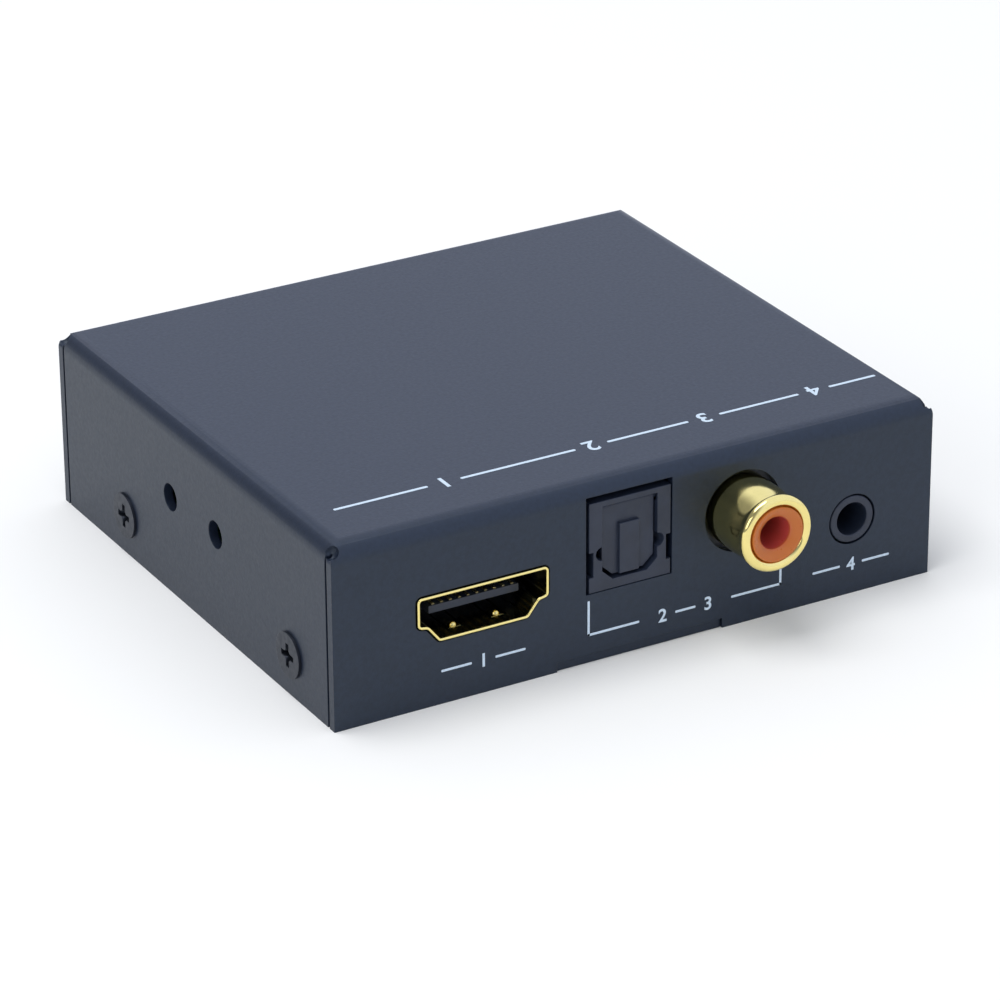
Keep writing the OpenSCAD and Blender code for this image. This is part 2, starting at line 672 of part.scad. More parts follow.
// Folded metal shell with its four legs and its latch springs
module video_shell() difference() {
    union() {
        translate([0, video_shell_y, video_z]) along_y(video_depth) difference() {
            polygon(rounded(video_points));
            polygon(rounded(inset(video_points, video_shell_t)));
        }
        both_sides() for (y = video_leg_ys)
            block([video_w / 2 - video_shell_t, y - video_leg_w / 2, tail_z],
                [video_w / 2, y + video_leg_w / 2, video_z]);
        for (side = [-1, 1], face = [-1, 1]) video_latch_bump(side, face);
    }
    for (side = [-1, 1], face = [-1, 1]) video_latch_slits(side, face);
    bar(video_foot_w + 2 * fit, video_foot_y - fit, video_end_y + over,
        board_top, video_z - video_h / 2 + video_shell_t + over);
}
// The spring's bump in the mouth, a low dome on the inside of the shell
module video_latch_bump(side, face) intersection() {
    translate([side * video_latch_spacing / 2, video_bump_y, video_z + face * (video_h / 2 - video_shell_t)])
        sphere(r = video_latch_bump_r, $fn = small_fn);
    translate([0, video_shell_y, video_z]) along_y(video_depth) polygon(rounded(video_points));
}
// A slit round three sides of the spring
module video_latch_slits(side, face) {
    z_mid = video_z + face * (video_h / 2 - video_shell_t / 2);
    z0 = z_mid - video_shell_t / 2 - fit;
    z1 = z_mid + video_shell_t / 2 + fit;
    y0 = video_shell_y + video_latch_start;
    translate([side * video_latch_spacing / 2, 0, 0]) {
        for (edge = [-1, 1]) translate([edge * (video_latch_w + video_latch_slit) / 2, 0, 0])
            bar(video_latch_slit, y0, y0 + video_latch_len, z0, z1);
        bar(video_latch_w + 2 * video_latch_slit, y0, y0 + video_latch_slit, z0, z1);
    }
}
// Plastic block, tongue, foot and pegs
module video_insulator() difference() {
    union() {
        translate([0, video_block_y, video_z]) along_y(video_end_y - video_block_y)
            polygon(rounded(inset(video_points, video_shell_t + fit)));
        bar(video_tongue_w, video_tongue_y, video_block_y + over,
            video_z - video_tongue_t / 2, video_z + video_tongue_t / 2);
        bar(video_foot_w, video_foot_y, video_end_y, board_top, video_z);
        for (side = [-1, 1]) peg(side * video_foot_w / 4, (video_foot_y + video_end_y) / 2, video_peg_r);
    }
    video_contact_strips();
}
// Two rows of contacts, with their tails down behind the block and their feet on the board
video_top_count = 10;
video_bottom_count = 9;
module video_contact_strips() {
    for (x = spread(video_top_count, video_pitch)) translate([x, 0, 0]) video_contact(1);
    for (x = spread(video_bottom_count, video_pitch)) translate([x, 0, 0]) video_contact(-1);
}
module video_contact(face) {
    z_mid = video_z + face * video_tongue_t / 2;
    z_top = z_mid + video_contact_t / 2;
    back_y = video_end_y + video_contact_t;
    bar(video_contact_w, video_tongue_y + video_contact_inset, back_y, z_mid - video_contact_t / 2, z_top);
    bar(video_contact_w, video_end_y, back_y, board_top, z_top);
    bar(video_contact_w, video_end_y, video_end_y + video_contact_foot, board_top, board_top + video_contact_t);
}
module video_out_shell() color("#e6dc9a") at_front(video_out_x) video_shell();
module video_out_insulator() color("#20252e") at_front(video_out_x) video_insulator();
module video_out_contacts() color("#b8ab78") at_front(video_out_x) video_contact_strips();
module video_in_shell() color("#e6dc9a") at_back(video_in_x) video_shell();
module video_in_insulator() color("#20252e") at_back(video_in_x) video_insulator();
module video_in_contacts() color("#b8ab78") at_back(video_in_x) video_contact_strips();

// Optical jack: a plastic housing with a spring shutter and a light source behind the cavity
optical_low_z = board_top + optical_rise;
optical_top_z = optical_low_z + optical_face_h;
optical_floor_z = optical_low_z + optical_sill;
optical_roof_z = optical_floor_z + optical_open_h;
optical_back_y = optical_recess + optical_cavity_d;
optical_bore_z = optical_floor_z + optical_bore_rise;
optical_wall_t = (optical_w - optical_open_w) / 2;
optical_pocket_y = optical_back_y + optical_back_t;
hinge_y = optical_recess + shutter_recess + shutter_t / 2;
hinge_z = optical_roof_z - shutter_top_gap - shutter_t / 2;
emitter_w = 5.6;
emitter_h = 7;
emitter_z = optical_bore_z - emitter_h / 2;
emitter_gap = 0.1;
emitter_dome_r = 1.2;
emitter_dome_len = 0.9;
optical_lead_count = 3;
optical_lead_pitch = 2;
optical_lead_xs = spread(optical_lead_count, optical_lead_pitch);
optical_lead_w = 0.45;
optical_lead_y = (optical_pocket_y + optical_depth) / 2;
optical_peg_r = 0.7;
optical_peg_y = 6;

module optical_opening() block([-optical_w / 2 - optical_gap_left, -over, optical_low_z - optical_gap_bottom],
    [optical_w / 2 + optical_gap_right, sheet_t + over, optical_top_z + optical_gap_top]);
module optical_board_cuts() {
    for (x = optical_lead_xs) lead_cut(x, optical_lead_y, optical_lead_w, optical_lead_w);
    for (side = [-1, 1]) peg_cut(side * optical_w / 4, optical_peg_y, optical_peg_r);
}
// The plug's outline in x and z: a block whose lower corners slope
module plug_outline(w, floor_z, roof_z) polygon([[w / 2, floor_z + optical_slope_h], [w / 2, roof_z],
    [-w / 2, roof_z], [-w / 2, floor_z + optical_slope_h],
    [-w / 2 + optical_slope_w, floor_z], [w / 2 - optical_slope_w, floor_z]]);
spring_pocket_r = spring_r + spring_wire / 2 + hinge_gap;
spring_pitch_share = 1.3;
spring_pitch = spring_wire * spring_pitch_share;
spring_coil_w = spring_turns * spring_pitch;
spring_pocket_w = spring_coil_w + spring_wire + 2 * hinge_gap;
spring_x = optical_open_w / 2 + hinge_gap + spring_wire / 2;
spring_pin_len = shutter_side_gap + spring_pocket_w + shutter_pin_r;
spring_slot_len = 1.1;
module optical_housing() color("#2c313e") at_front(optical_x) difference() {
    union() {
        bar(optical_w, optical_recess, behind_wall + over, optical_low_z, optical_top_z);
        bar(optical_w, behind_wall, optical_depth, board_top, optical_top_z);
        for (side = [-1, 1]) peg(side * optical_w / 4, optical_peg_y, optical_peg_r);
    }
    translate([0, -over, 0]) along_y(optical_back_y + over)
        plug_outline(optical_open_w, optical_floor_z, optical_roof_z);
    for (side = [-1, 1]) translate([side * optical_open_w / 2, -over, optical_bore_z])
        rod_y(optical_groove_r, over + optical_recess + optical_groove_d, small_fn);
    for (side = [-1, 1]) translate([side * optical_w / 2, 0, 0])
        bar(2 * optical_cut_w, -over, optical_recess + optical_cut_d, optical_low_z + optical_cut_rise,
            optical_low_z + optical_cut_rise + optical_cut_h);
    translate([0, optical_back_y - over, optical_bore_z]) rod_y(optical_bore_r, optical_back_t + 2 * over);
    bar(emitter_w + 2 * emitter_gap, optical_pocket_y, optical_depth + over,
        board_top - over, emitter_z + emitter_h + emitter_gap);
    translate([-optical_open_w / 2 - shutter_pin_len - hinge_gap, hinge_y, hinge_z])
        rod_x(shutter_pin_r + hinge_gap, shutter_pin_len + hinge_gap + over, small_fn);
    translate([optical_open_w / 2 - over, hinge_y, hinge_z]) {
        rod_x(spring_pocket_r, spring_pocket_w + over, small_fn);
        rod_x(shutter_spring_pin_r + hinge_gap, over + spring_pin_len - shutter_side_gap + hinge_gap, small_fn);
    }
    block([optical_open_w / 2 - over, hinge_y, hinge_z],
        [optical_open_w / 2 + spring_pocket_w, hinge_y + spring_slot_len, hinge_z + spring_pocket_r]);
}

// Shutter: hangs from the hinge pins in the housing's walls and swings in when a plug is pushed in
shutter_w = optical_open_w - 2 * shutter_side_gap;
shutter_low_z = optical_floor_z + shutter_bottom_gap;
module optical_shutter() color("#353b49") at_front(optical_x) {
    translate([0, hinge_y - shutter_t / 2, 0]) along_y(shutter_t) plug_outline(shutter_w, shutter_low_z, hinge_z);
    translate([-shutter_w / 2, hinge_y, hinge_z]) rod_x(shutter_t / 2, shutter_w, small_fn);
    bar(shutter_rib_w, hinge_y - shutter_t / 2 - shutter_rib_t, hinge_y,
        shutter_low_z, optical_roof_z - shutter_rib_drop);
    translate([-shutter_w / 2 - shutter_side_gap - shutter_pin_len + hinge_gap, hinge_y, hinge_z])
        rod_x(shutter_pin_r, shutter_side_gap + shutter_pin_len, small_fn);
    translate([shutter_w / 2 - shutter_pin_r, hinge_y, hinge_z])
        rod_x(shutter_spring_pin_r, shutter_pin_r + spring_pin_len - hinge_gap, small_fn);
}

// Return spring: one wire with a coil round the right hinge pin, an arm in the housing's slot
// and an arm behind the shutter
spring_steps = 16;
spring_sides = 8;
spring_arm_y = shutter_t / 2 + spring_wire / 2 + hinge_gap / 2;
spring_coil_points = [for (i = [0 : spring_turns * spring_steps])
    let (turn = 360 * i / spring_steps)
    [spring_x + spring_pitch * i / spring_steps, spring_r * cos(turn), spring_r * sin(turn)]];
spring_route = concat(
    [[shutter_w / 2 - spring_arm / 3, spring_arm_y, -spring_arm],
        [shutter_w / 2 - spring_wire, spring_arm_y, -2 * spring_r],
        [optical_open_w / 2 - spring_wire, spring_arm_y, -spring_r / 2]],
    spring_coil_points,
    [[spring_x + spring_coil_w, spring_r, spring_r],
        [spring_x + spring_coil_w, spring_slot_len - spring_wire, spring_r]]);
function along(route, i) = unit(route[min(i + 1, len(route) - 1)] - route[max(i - 1, 0)]);
function wire_ring(route, i, r, sides) =
    let (ahead = along(route, i), u = unit(cross(ahead, [1, 0, 0])), v = cross(ahead, u))
    [for (k = [0 : sides - 1]) route[i] + r * (cos(360 * k / sides) * u + sin(360 * k / sides) * v)];
function wire_quad(a, b, c, d) = [[a, d, c], [a, c, b]];
// A wire along a route that never runs straight along x
module wire(route, r, sides) {
    rings = len(route);
    points = [for (i = [0 : rings - 1]) each wire_ring(route, i, r, sides)];
    skin = [for (i = [0 : rings - 2], k = [0 : sides - 1])
        let (a = i * sides, b = a + sides, next = (k + 1) % sides)
        each wire_quad(a + k, a + next, b + next, b + k)];
    first = [for (k = [0 : sides - 1]) k];
    last = [for (k = [sides - 1 : -1 : 0]) (rings - 1) * sides + k];
    polyhedron(points, concat([first], skin, [last]));
}
module optical_spring() color("#b8bcc2") at_front(optical_x) translate([0, hinge_y, hinge_z])
    wire(spring_route, spring_wire / 2, spring_sides);

// Light source of the optical jack and its three leads
module optical_emitter() color("#33363d") at_front(optical_x) {
    bar(emitter_w, optical_pocket_y + fit, optical_depth - fit, emitter_z, emitter_z + emitter_h);
    translate([0, optical_pocket_y + fit - emitter_dome_len, optical_bore_z])
        rod_y(emitter_dome_r, emitter_dome_len + over, small_fn);
}
module optical_leads() color("#c4c6c8") at_front(optical_x) for (x = optical_lead_xs) translate([x, 0, 0])
    bar(optical_lead_w, optical_lead_y - optical_lead_w / 2, optical_lead_y + optical_lead_w / 2, tail_z, emitter_z);

// Coaxial jack: gold barrel with a rounded lip, coloured insert, sprung centre contact, housing and earth tab
coax_z = board_top + coax_rise;
coax_front_y = -coax_reach;
coax_lip_t = coax_lip_r - coax_inner_r + fit;
coax_neck_y = coax_front_y + coax_lip_t / 2;
coax_barrel_y = coax_neck_y + coax_neck_len;
coax_housing_y = behind_wall + coax_flange_t;
coax_insert_y = coax_front_y + coax_insert_setback;
coax_insert_end_y = coax_housing_y + coax_stem_len;
coax_insert_r = coax_inner_r - fit;
coax_contact_y = coax_front_y + coax_contact_setback;
coax_contact_outer_r = coax_contact_r + coax_contact_t;
coax_end_y = coax_housing_y + coax_housing_d;
coax_stem_r = coax_inner_r + coax_stem_t;
coax_tail_r = 0.6;
coax_tail_w = 1.2;
coax_peg_r = 0.7;
coax_peg_back = 6;
coax_peg_y = coax_housing_y + coax_peg_back;
coax_peg_x = coax_w / 3;
module coax_board_cuts() {
    lead_cut(0, coax_housing_y + coax_tab_t / 2, coax_tab_w, coax_tab_t);
    lead_cut(0, coax_end_y + coax_tab_t / 2, coax_tail_w, coax_tab_t);
    for (side = [-1, 1]) peg_cut(side * coax_peg_x, coax_peg_y, coax_peg_r);
}
module at_coax_axis() at_front(coax_x) translate([0, 0, coax_z]) children();
module coax_barrel() color("#d9cf8f") at_coax_axis() turned_y() difference() {
    union() {
        translate([coax_lip_r - coax_lip_t / 2, coax_neck_y]) circle(d = coax_lip_t, $fn = small_fn);
        translate([0, coax_neck_y]) square([coax_neck_r, coax_neck_len]);
        translate([0, coax_barrel_y]) square([coax_barrel_r, coax_housing_y - coax_barrel_y]);
        translate([0, behind_wall]) square([coax_flange_r, coax_flange_t]);
        translate([0, coax_housing_y]) square([coax_stem_r, coax_stem_len]);
    }
    translate([0, coax_front_y - over]) square([coax_inner_r, coax_insert_end_y - coax_front_y + 2 * over]);
}
module coax_insulator() color("#e07a33") at_coax_axis() turned_y() difference() {
    translate([0, coax_insert_y]) square([coax_insert_r, coax_insert_end_y - coax_insert_y]);
    translate([0, coax_insert_y - over]) square([coax_bore_r, coax_insert_end_y - coax_insert_y + 2 * over]);
    polygon([[0, coax_insert_y - over], [coax_insert_r - coax_insert_rim, coax_insert_y - over],
        [coax_insert_r - coax_insert_rim, coax_insert_y], [coax_bore_r, coax_insert_y + coax_funnel_d],
        [0, coax_insert_y + coax_funnel_d]]);
    translate([0, coax_contact_y - fit])
        square([coax_contact_outer_r + fit, coax_insert_end_y - coax_contact_y + over]);
}
module coax_centre_contact() color("#cfc48a") at_coax_axis() {
    difference() {
        turned_y() translate([0, coax_contact_y])
            square([coax_contact_outer_r, coax_insert_end_y - coax_contact_y]);
        translate([0, coax_contact_y - over, 0])
            rod_y(coax_contact_r, over + coax_insert_end_y - coax_contact_y - 2 * coax_contact_t);
        bar(coax_slit_w, coax_contact_y - over, coax_insert_end_y - 4 * coax_contact_t,
            -coax_contact_outer_r - over, coax_contact_outer_r + over);
    }
    translate([0, coax_insert_end_y - coax_contact_t, 0])
        rod_y(coax_tail_r, coax_contact_t + coax_end_y - coax_insert_end_y + coax_tab_t, small_fn);
    bar(coax_tail_w, coax_end_y, coax_end_y + coax_tab_t, tail_z - coax_z, coax_tail_w / 2);
}
module coax_earth_tab() color("#cfc48a") at_front(coax_x)
    bar(coax_tab_w, coax_housing_y, coax_housing_y + coax_tab_t, tail_z, coax_z - coax_stem_r - 2 * fit);
module coax_housing() color("#1d2129") at_front(coax_x) difference() {
    union() {
        bar(coax_w, coax_housing_y, coax_end_y, board_top, coax_z + coax_top);
        for (side = [-1, 1]) peg(side * coax_peg_x, coax_peg_y, coax_peg_r);
    }
    translate([0, coax_housing_y - over, coax_z]) rod_y(coax_stem_r + fit, over + coax_stem_len + fit);
    translate([0, coax_housing_y, coax_z]) rod_y(coax_tail_r + fit, coax_housing_d + over, small_fn);
    bar(coax_tab_w + 2 * fit, coax_housing_y - over, coax_housing_y + coax_tab_t,
        board_top - over, coax_z - coax_stem_r);
}

// Stereo jack: housing with a round nose, and four leaf contacts in slots beside the bore
stereo_z = board_top + stereo_rise;
stereo_slot_wall = 0.3;
stereo_slot_x = stereo_bore_r + stereo_slot_wall;
stereo_leaf_t = 0.3;
stereo_leaf_w = 3.2;
stereo_leaf_ys = [5.5, 11];
stereo_leaf_rise = 1.3;
stereo_lead_w = 1;
module stereo_board_cuts() for (side = [-1, 1], y = stereo_leaf_ys)
    lead_cut(side * (stereo_slot_x + stereo_leaf_t / 2), y, stereo_leaf_t, stereo_lead_w);
module stereo_housing() color("#20242d") at_front(stereo_x) difference() {
    union() {
        translate([0, 0, stereo_z]) rod_y(stereo_nose_r, behind_wall + fit, large_fn);
        bar(stereo_w, behind_wall, stereo_depth, board_top, stereo_z + stereo_top);
    }
    translate([0, -over, stereo_z]) rod_y(stereo_bore_r, stereo_bore_d + over, large_fn);
    both_sides() for (y = stereo_leaf_ys)
        block([stereo_slot_x, y - stereo_leaf_w / 2 - fit, board_top - over],
            [stereo_w / 2 + over, y + stereo_leaf_w / 2 + fit, stereo_z + stereo_leaf_rise + fit]);
}
module stereo_contacts() color("#c9c39a") at_front(stereo_x) both_sides() for (y = stereo_leaf_ys) {
    block([stereo_slot_x, y - stereo_leaf_w / 2, board_top],
        [stereo_slot_x + stereo_leaf_t, y + stereo_leaf_w / 2, stereo_z + stereo_leaf_rise]);
    block([stereo_slot_x, y - stereo_lead_w / 2, tail_z],
        [stereo_slot_x + stereo_leaf_t, y + stereo_lead_w / 2, board_top + over]);
}

// Power jack: housing with a round nose, centre pin and side spring
dc_z = board_top + dc_rise;
dc_tab_t = 0.4;
dc_tab_w = 2.4;
dc_spring_w = 2;
dc_spring_y0 = 3;
dc_spring_y1 = 8.4;
dc_spring_drop = 0.2;
dc_spring_z = dc_z - dc_bore_r - dc_spring_drop;
dc_slot_gap = 0.1;
module power_board_cuts() {
    lead_cut(0, dc_depth + dc_tab_t / 2, dc_tab_w, dc_tab_t);
    lead_cut(0, dc_spring_y1 - dc_tab_t / 2, dc_spring_w, dc_tab_t);
}
module power_housing() color("#1d2129") at_back(dc_x) difference() {
    union() {
        translate([0, 0, dc_z]) rod_y(dc_nose_r, behind_wall + fit, large_fn);
        bar(dc_w, behind_wall, dc_depth, board_top, dc_z + dc_top);
    }
    translate([0, -over, dc_z]) rod_y(dc_bore_r, dc_bore_d + over, large_fn);
    translate([0, 0, dc_z]) rod_y(dc_pin_r + fit, dc_depth + over);
    bar(dc_spring_w + 2 * dc_slot_gap, dc_spring_y0 - dc_slot_gap, dc_spring_y1 + dc_slot_gap,
        board_top - over, dc_z - dc_bore_r / 2);
}
module power_pin() color("#c4c6c8") at_back(dc_x) {
    translate([0, dc_pin_setback + dc_pin_r / 2, dc_z])
        rod_y(dc_pin_r, dc_depth - dc_pin_setback - dc_pin_r / 2 + dc_tab_t);
    translate([0, dc_pin_setback, dc_z]) rotate([-90, 0, 0])
        cylinder(r1 = dc_pin_r / 2, r2 = dc_pin_r, h = dc_pin_r / 2, $fn = middle_fn);
    bar(dc_tab_w, dc_depth, dc_depth + dc_tab_t, tail_z, dc_z + dc_tab_w / 2);
}
module power_spring_contact() color("#cfc48a") at_back(dc_x) {
    bar(dc_spring_w, dc_spring_y0, dc_spring_y1, dc_spring_z - dc_tab_t, dc_spring_z);
    bar(dc_spring_w, dc_spring_y1 - dc_tab_t, dc_spring_y1, tail_z, dc_spring_z);
}

// Mode switch: a metal frame open at the back, a base with four terminals, and a lever that carries a wiper
switch_z = board_top + switch_rise;
slide_gap = 0.05;
switch_base_t = 1;
switch_head_t = 0.25;
switch_wiper_t = 0.2;
switch_bump = 0.15;
switch_plate_w = 7;
switch_pitch = 2;
switch_terminal_count = 4;
switch_terminal_xs = spread(switch_terminal_count, switch_pitch);
switch_terminal_w = 0.5;
switch_head_w = 1.2;
switch_leg_w = 1;
switch_y = behind_wall;
switch_end_y = switch_y + switch_d;
switch_plate_y = switch_y + switch_sheet_t + slide_gap;
switch_base_y = switch_end_y - switch_base_t;
switch_plate_end_y = switch_base_y - switch_head_t - slide_gap - switch_bump - switch_wiper_t;
switch_inner_h = switch_h - 2 * switch_sheet_t;
switch_leg_y = switch_y + switch_d / 2;
switch_drop_y = switch_end_y + switch_terminal_w;
module switch_opening() bar(switch_lever_w + 2 * (switch_travel + switch_slot_slack), -over, sheet_t + over,
    switch_z - switch_slot_h / 2, switch_z + switch_slot_h / 2);
module switch_board_cuts() {
    for (side = [-1, 1])
        lead_cut(side * (switch_w - switch_sheet_t) / 2, switch_leg_y, switch_sheet_t, switch_leg_w);
    for (x = switch_terminal_xs)
        lead_cut(x, switch_drop_y + switch_terminal_w / 2, switch_terminal_w, switch_terminal_w);
}
module switch_frame() color("#b9bcc0") at_back(switch_x) {
    difference() {
        bar(switch_w, switch_y, switch_end_y, switch_z - switch_h / 2, switch_z + switch_h / 2);
        bar(switch_w - 2 * switch_sheet_t, switch_y + switch_sheet_t, switch_end_y + over,
            switch_z - switch_inner_h / 2, switch_z + switch_inner_h / 2);
        bar(switch_lever_w + 2 * (switch_travel + 2 * slide_gap), switch_y - over, switch_y + switch_sheet_t + over,
            switch_z - switch_lever_h / 2 - 2 * slide_gap, switch_z + switch_lever_h / 2 + 2 * slide_gap);
    }
    both_sides() block([switch_w / 2 - switch_sheet_t, switch_leg_y - switch_leg_w / 2, tail_z],
        [switch_w / 2, switch_leg_y + switch_leg_w / 2, switch_z]);
}
module switch_lever() color("#16181d") at_back(switch_x) {
    bar(switch_plate_w, switch_plate_y, switch_plate_end_y,
        switch_z - switch_inner_h / 2 + slide_gap, switch_z + switch_inner_h / 2 - slide_gap);
    bar(switch_lever_w, -switch_lever_reach, switch_plate_y + over,
        switch_z - switch_lever_h / 2, switch_z + switch_lever_h / 2);
}
module switch_wiper() color("#c9c39a") at_back(switch_x) {
    bar(2 * switch_pitch, switch_plate_end_y, switch_plate_end_y + switch_wiper_t,
        switch_z - switch_head_w / 2, switch_z + switch_head_w / 2);
    for (side = [-1, 1]) translate([side * switch_pitch / 2, 0, 0])
        bar(switch_terminal_w, switch_plate_end_y, switch_plate_end_y + switch_wiper_t + switch_bump,
            switch_z - switch_terminal_w / 2, switch_z + switch_terminal_w / 2);
}
module switch_terminal_set() for (x = switch_terminal_xs) translate([x, 0, 0]) {
    bar(switch_head_w, switch_base_y - switch_head_t, switch_base_y,
        switch_z - switch_head_w / 2, switch_z + switch_head_w / 2);
    bar(switch_terminal_w, switch_base_y, switch_drop_y + switch_terminal_w,
        switch_z - switch_terminal_w / 2, switch_z + switch_terminal_w / 2);
    bar(switch_terminal_w, switch_drop_y, switch_drop_y + switch_terminal_w, tail_z, switch_z);
}
module switch_terminals() color("#c4c6c8") at_back(switch_x) switch_terminal_set();
module switch_base() color("#8a6a45") at_back(switch_x) difference() {
    bar(switch_w - 2 * (switch_sheet_t + fit), switch_base_y, switch_end_y,
        switch_z - switch_inner_h / 2 + fit, switch_z + switch_inner_h / 2 - fit);
    switch_terminal_set();
}

// Power light: a clear dome with a flange, and two leads bent down into the board
led_z = board_top + led_rise;
led_dome_y = led_r - led_proud;
led_end_y = led_len - led_proud;
led_flange_w = 0.3;
led_flange_t = 0.8;
led_lead_w = 0.45;
led_lead_pitch = 2.54;
led_bend = 1;
led_drop_y = led_end_y + led_bend;
module led_board_cuts() for (side = [-1, 1])
    lead_cut(side * led_lead_pitch / 2, led_drop_y + led_lead_w / 2, led_lead_w, led_lead_w);
module power_light() color("#c9d6ee") at_back(led_x) translate([0, 0, led_z]) {
    translate([0, led_dome_y, 0]) sphere(led_r, $fn = middle_fn);
    translate([0, led_dome_y, 0]) rod_y(led_r, led_end_y - led_dome_y);
    translate([0, led_end_y - led_flange_t, 0]) rod_y(led_r + led_flange_w, led_flange_t);
}
module power_light_leads() color("#c4c6c8") at_back(led_x) both_sides() translate([led_lead_pitch / 2, 0, 0]) {
    bar(led_lead_w, led_end_y, led_drop_y + led_lead_w, led_z - led_lead_w / 2, led_z + led_lead_w / 2);
    bar(led_lead_w, led_drop_y, led_drop_y + led_lead_w, tail_z, led_z);
}

// Places on the board from its middle, as shares of its width and depth
video_chip_shares = [-0.15, -0.06];
controller_shares = [0.115, -0.12];
audio_chip_shares = [0.295, -0.155];
memory_chip_shares = [-0.345, -0.135];
crystal_shares = [-0.15, 0.165];
coil_shares = [0.31, 0.16];
regulator_shares = [[0.13, 0.12], [0.28, 0.03]];
can_shares = [[0.025, 0.225], [0.17, 0.285], [-0.345, 0.07]];
capacitor_row_shares = [[-0.15, -0.21], [-0.15, 0.09]];
resistor_row_shares = [[0.1, 0.005], [0.27, -0.24]];
module on_board(share) translate([share.x * board_w, share.y * board_d, board_top]) children();

// Chips: a plastic body a little above the board, carried by gull-wing leads
chip_seat = 0.1;
chip_lead_t = 0.15;
chip_lead_out = 0.35;
chip_lead_foot = 0.5;
fine_lead_w = 0.22;
coarse_lead_w = 0.4;
chip_margin = 1;
chip_mid_z = chip_seat + chip_h / 2;
function rows_of(side, pitch) = floor((side - 2 * chip_margin) / pitch) + 1;
module chip_lead(w) translate([-w / 2, 0, 0]) along_x(w) polygon([[0, chip_mid_z - chip_lead_t / 2],
    [chip_lead_out, chip_mid_z - chip_lead_t / 2], [chip_lead_out, 0], [chip_lead_out + chip_lead_foot, 0],
    [chip_lead_out + chip_lead_foot, chip_lead_t], [chip_lead_out + chip_lead_t, chip_lead_t],
    [chip_lead_out + chip_lead_t, chip_mid_z + chip_lead_t / 2], [0, chip_mid_z + chip_lead_t / 2]]);
module lead_row(count, pitch, w, half) for (x = spread(count, pitch)) translate([x, half, 0]) chip_lead(w);
module chip_body(x, y) translate([-x / 2, -y / 2, chip_seat]) cube([x, y, chip_h]);
module square_chip_leads(side, pitch, w) for (turn = [0 : 90 : 270]) rotate(turn)
    lead_row(rows_of(side, pitch), pitch, w, side / 2);
module two_row_leads(length, width, pitch, w) for (turn = [0, 180]) rotate(turn)
    lead_row(rows_of(length + chip_margin, pitch), pitch, w, width / 2);
module video_chip() color("#24262b") on_board(video_chip_shares) chip_body(video_chip_side, video_chip_side);
module video_chip_leads() color("#c4c6c8") on_board(video_chip_shares)
    square_chip_leads(video_chip_side, fine_pitch, fine_lead_w);
module controller_chip() color("#24262b") on_board(controller_shares) chip_body(controller_side, controller_side);
module controller_chip_leads() color("#c4c6c8") on_board(controller_shares)
    square_chip_leads(controller_side, fine_pitch, fine_lead_w);
module audio_chip() color("#24262b") on_board(audio_chip_shares) chip_body(audio_chip_len, audio_chip_w);
module audio_chip_leads() color("#c4c6c8") on_board(audio_chip_shares)
    two_row_leads(audio_chip_len, audio_chip_w, fine_pitch, fine_lead_w);
module memory_chip() color("#24262b") on_board(memory_chip_shares) chip_body(memory_chip_len, memory_chip_w);
module memory_chip_leads() color("#c4c6c8") on_board(memory_chip_shares)
    two_row_leads(memory_chip_len, memory_chip_w, coarse_pitch, coarse_lead_w);

// Crystal: a pressed can with round ends on a wider rim
crystal_rim = 0.25;
crystal_rim_h = 0.4;
module round_ended(length, w, h) {
    for (side = [-1, 1]) translate([side * (length - w) / 2, 0, 0]) cylinder(r = w / 2, h = h, $fn = middle_fn);
    translate([-(length - w) / 2, -w / 2, 0]) cube([length - w, w, h]);
}
module crystal_can() color("#c9ccd0") on_board(crystal_shares) {
    round_ended(crystal_len, crystal_w, crystal_rim_h);
    round_ended(crystal_len - 2 * crystal_rim, crystal_w - 2 * crystal_rim, crystal_h);
}

// Voltage regulators: a body with a wide tab at one side and three leads at the other
regulator_len = 6.5;
regulator_w = 3.5;
regulator_tab_w = 3;
regulator_lead_w = 0.7;
regulator_pitch = 2.3;
module voltage_regulators() color("#26282d") for (share = regulator_shares) on_board(share) {
    chip_body(regulator_len, regulator_w);
    lead_row(3, regulator_pitch, regulator_lead_w, regulator_w / 2 - fit);
    rotate(180) lead_row(1, regulator_pitch, regulator_tab_w, regulator_w / 2 - fit);
}

// Power coil: a square core with cut corners and a round plug in its top
coil_corner = 1;
coil_plug_h = 0.2;
coil_plug_share = 0.36;
module power_coil() color("#45484e") on_board(coil_shares) {
    linear_extrude(coil_h) difference() {
        square(coil_side, center = true);
        for (turn = [0 : 90 : 270]) rotate(turn) translate([coil_side / 2, coil_side / 2]) rotate(45)
            square([coil_corner, 2 * coil_side], center = true);
    }
    cylinder(r = coil_side * coil_plug_share, h = coil_h + coil_plug_h, $fn = middle_fn);
}

// Capacitor cans on square plastic feet, each can with a groove near its base
can_groove_r = 0.25;
can_groove_z = 0.9;
can_foot_corner = 0.9;
module capacitor_cans() color("#c3c7cd") for (share = can_shares)
    on_board(share) translate([0, 0, can_foot_h]) difference() {
        cylinder(r = can_r, h = can_h, $fn = middle_fn);
        translate([0, 0, can_groove_z]) rotate_extrude($fn = middle_fn)
            translate([can_r, 0]) circle(can_groove_r, $fn = small_fn);
    }
module capacitor_feet() color("#1b1d22") for (share = can_shares) on_board(share) capacitor_foot();
module capacitor_foot() linear_extrude(can_foot_h) difference() {
    square(can_foot_side, center = true);
    for (turn = [0, 90]) rotate(turn) translate([can_foot_side / 2, can_foot_side / 2]) rotate(45)
        square([can_foot_corner, 2 * can_foot_side], center = true);
}

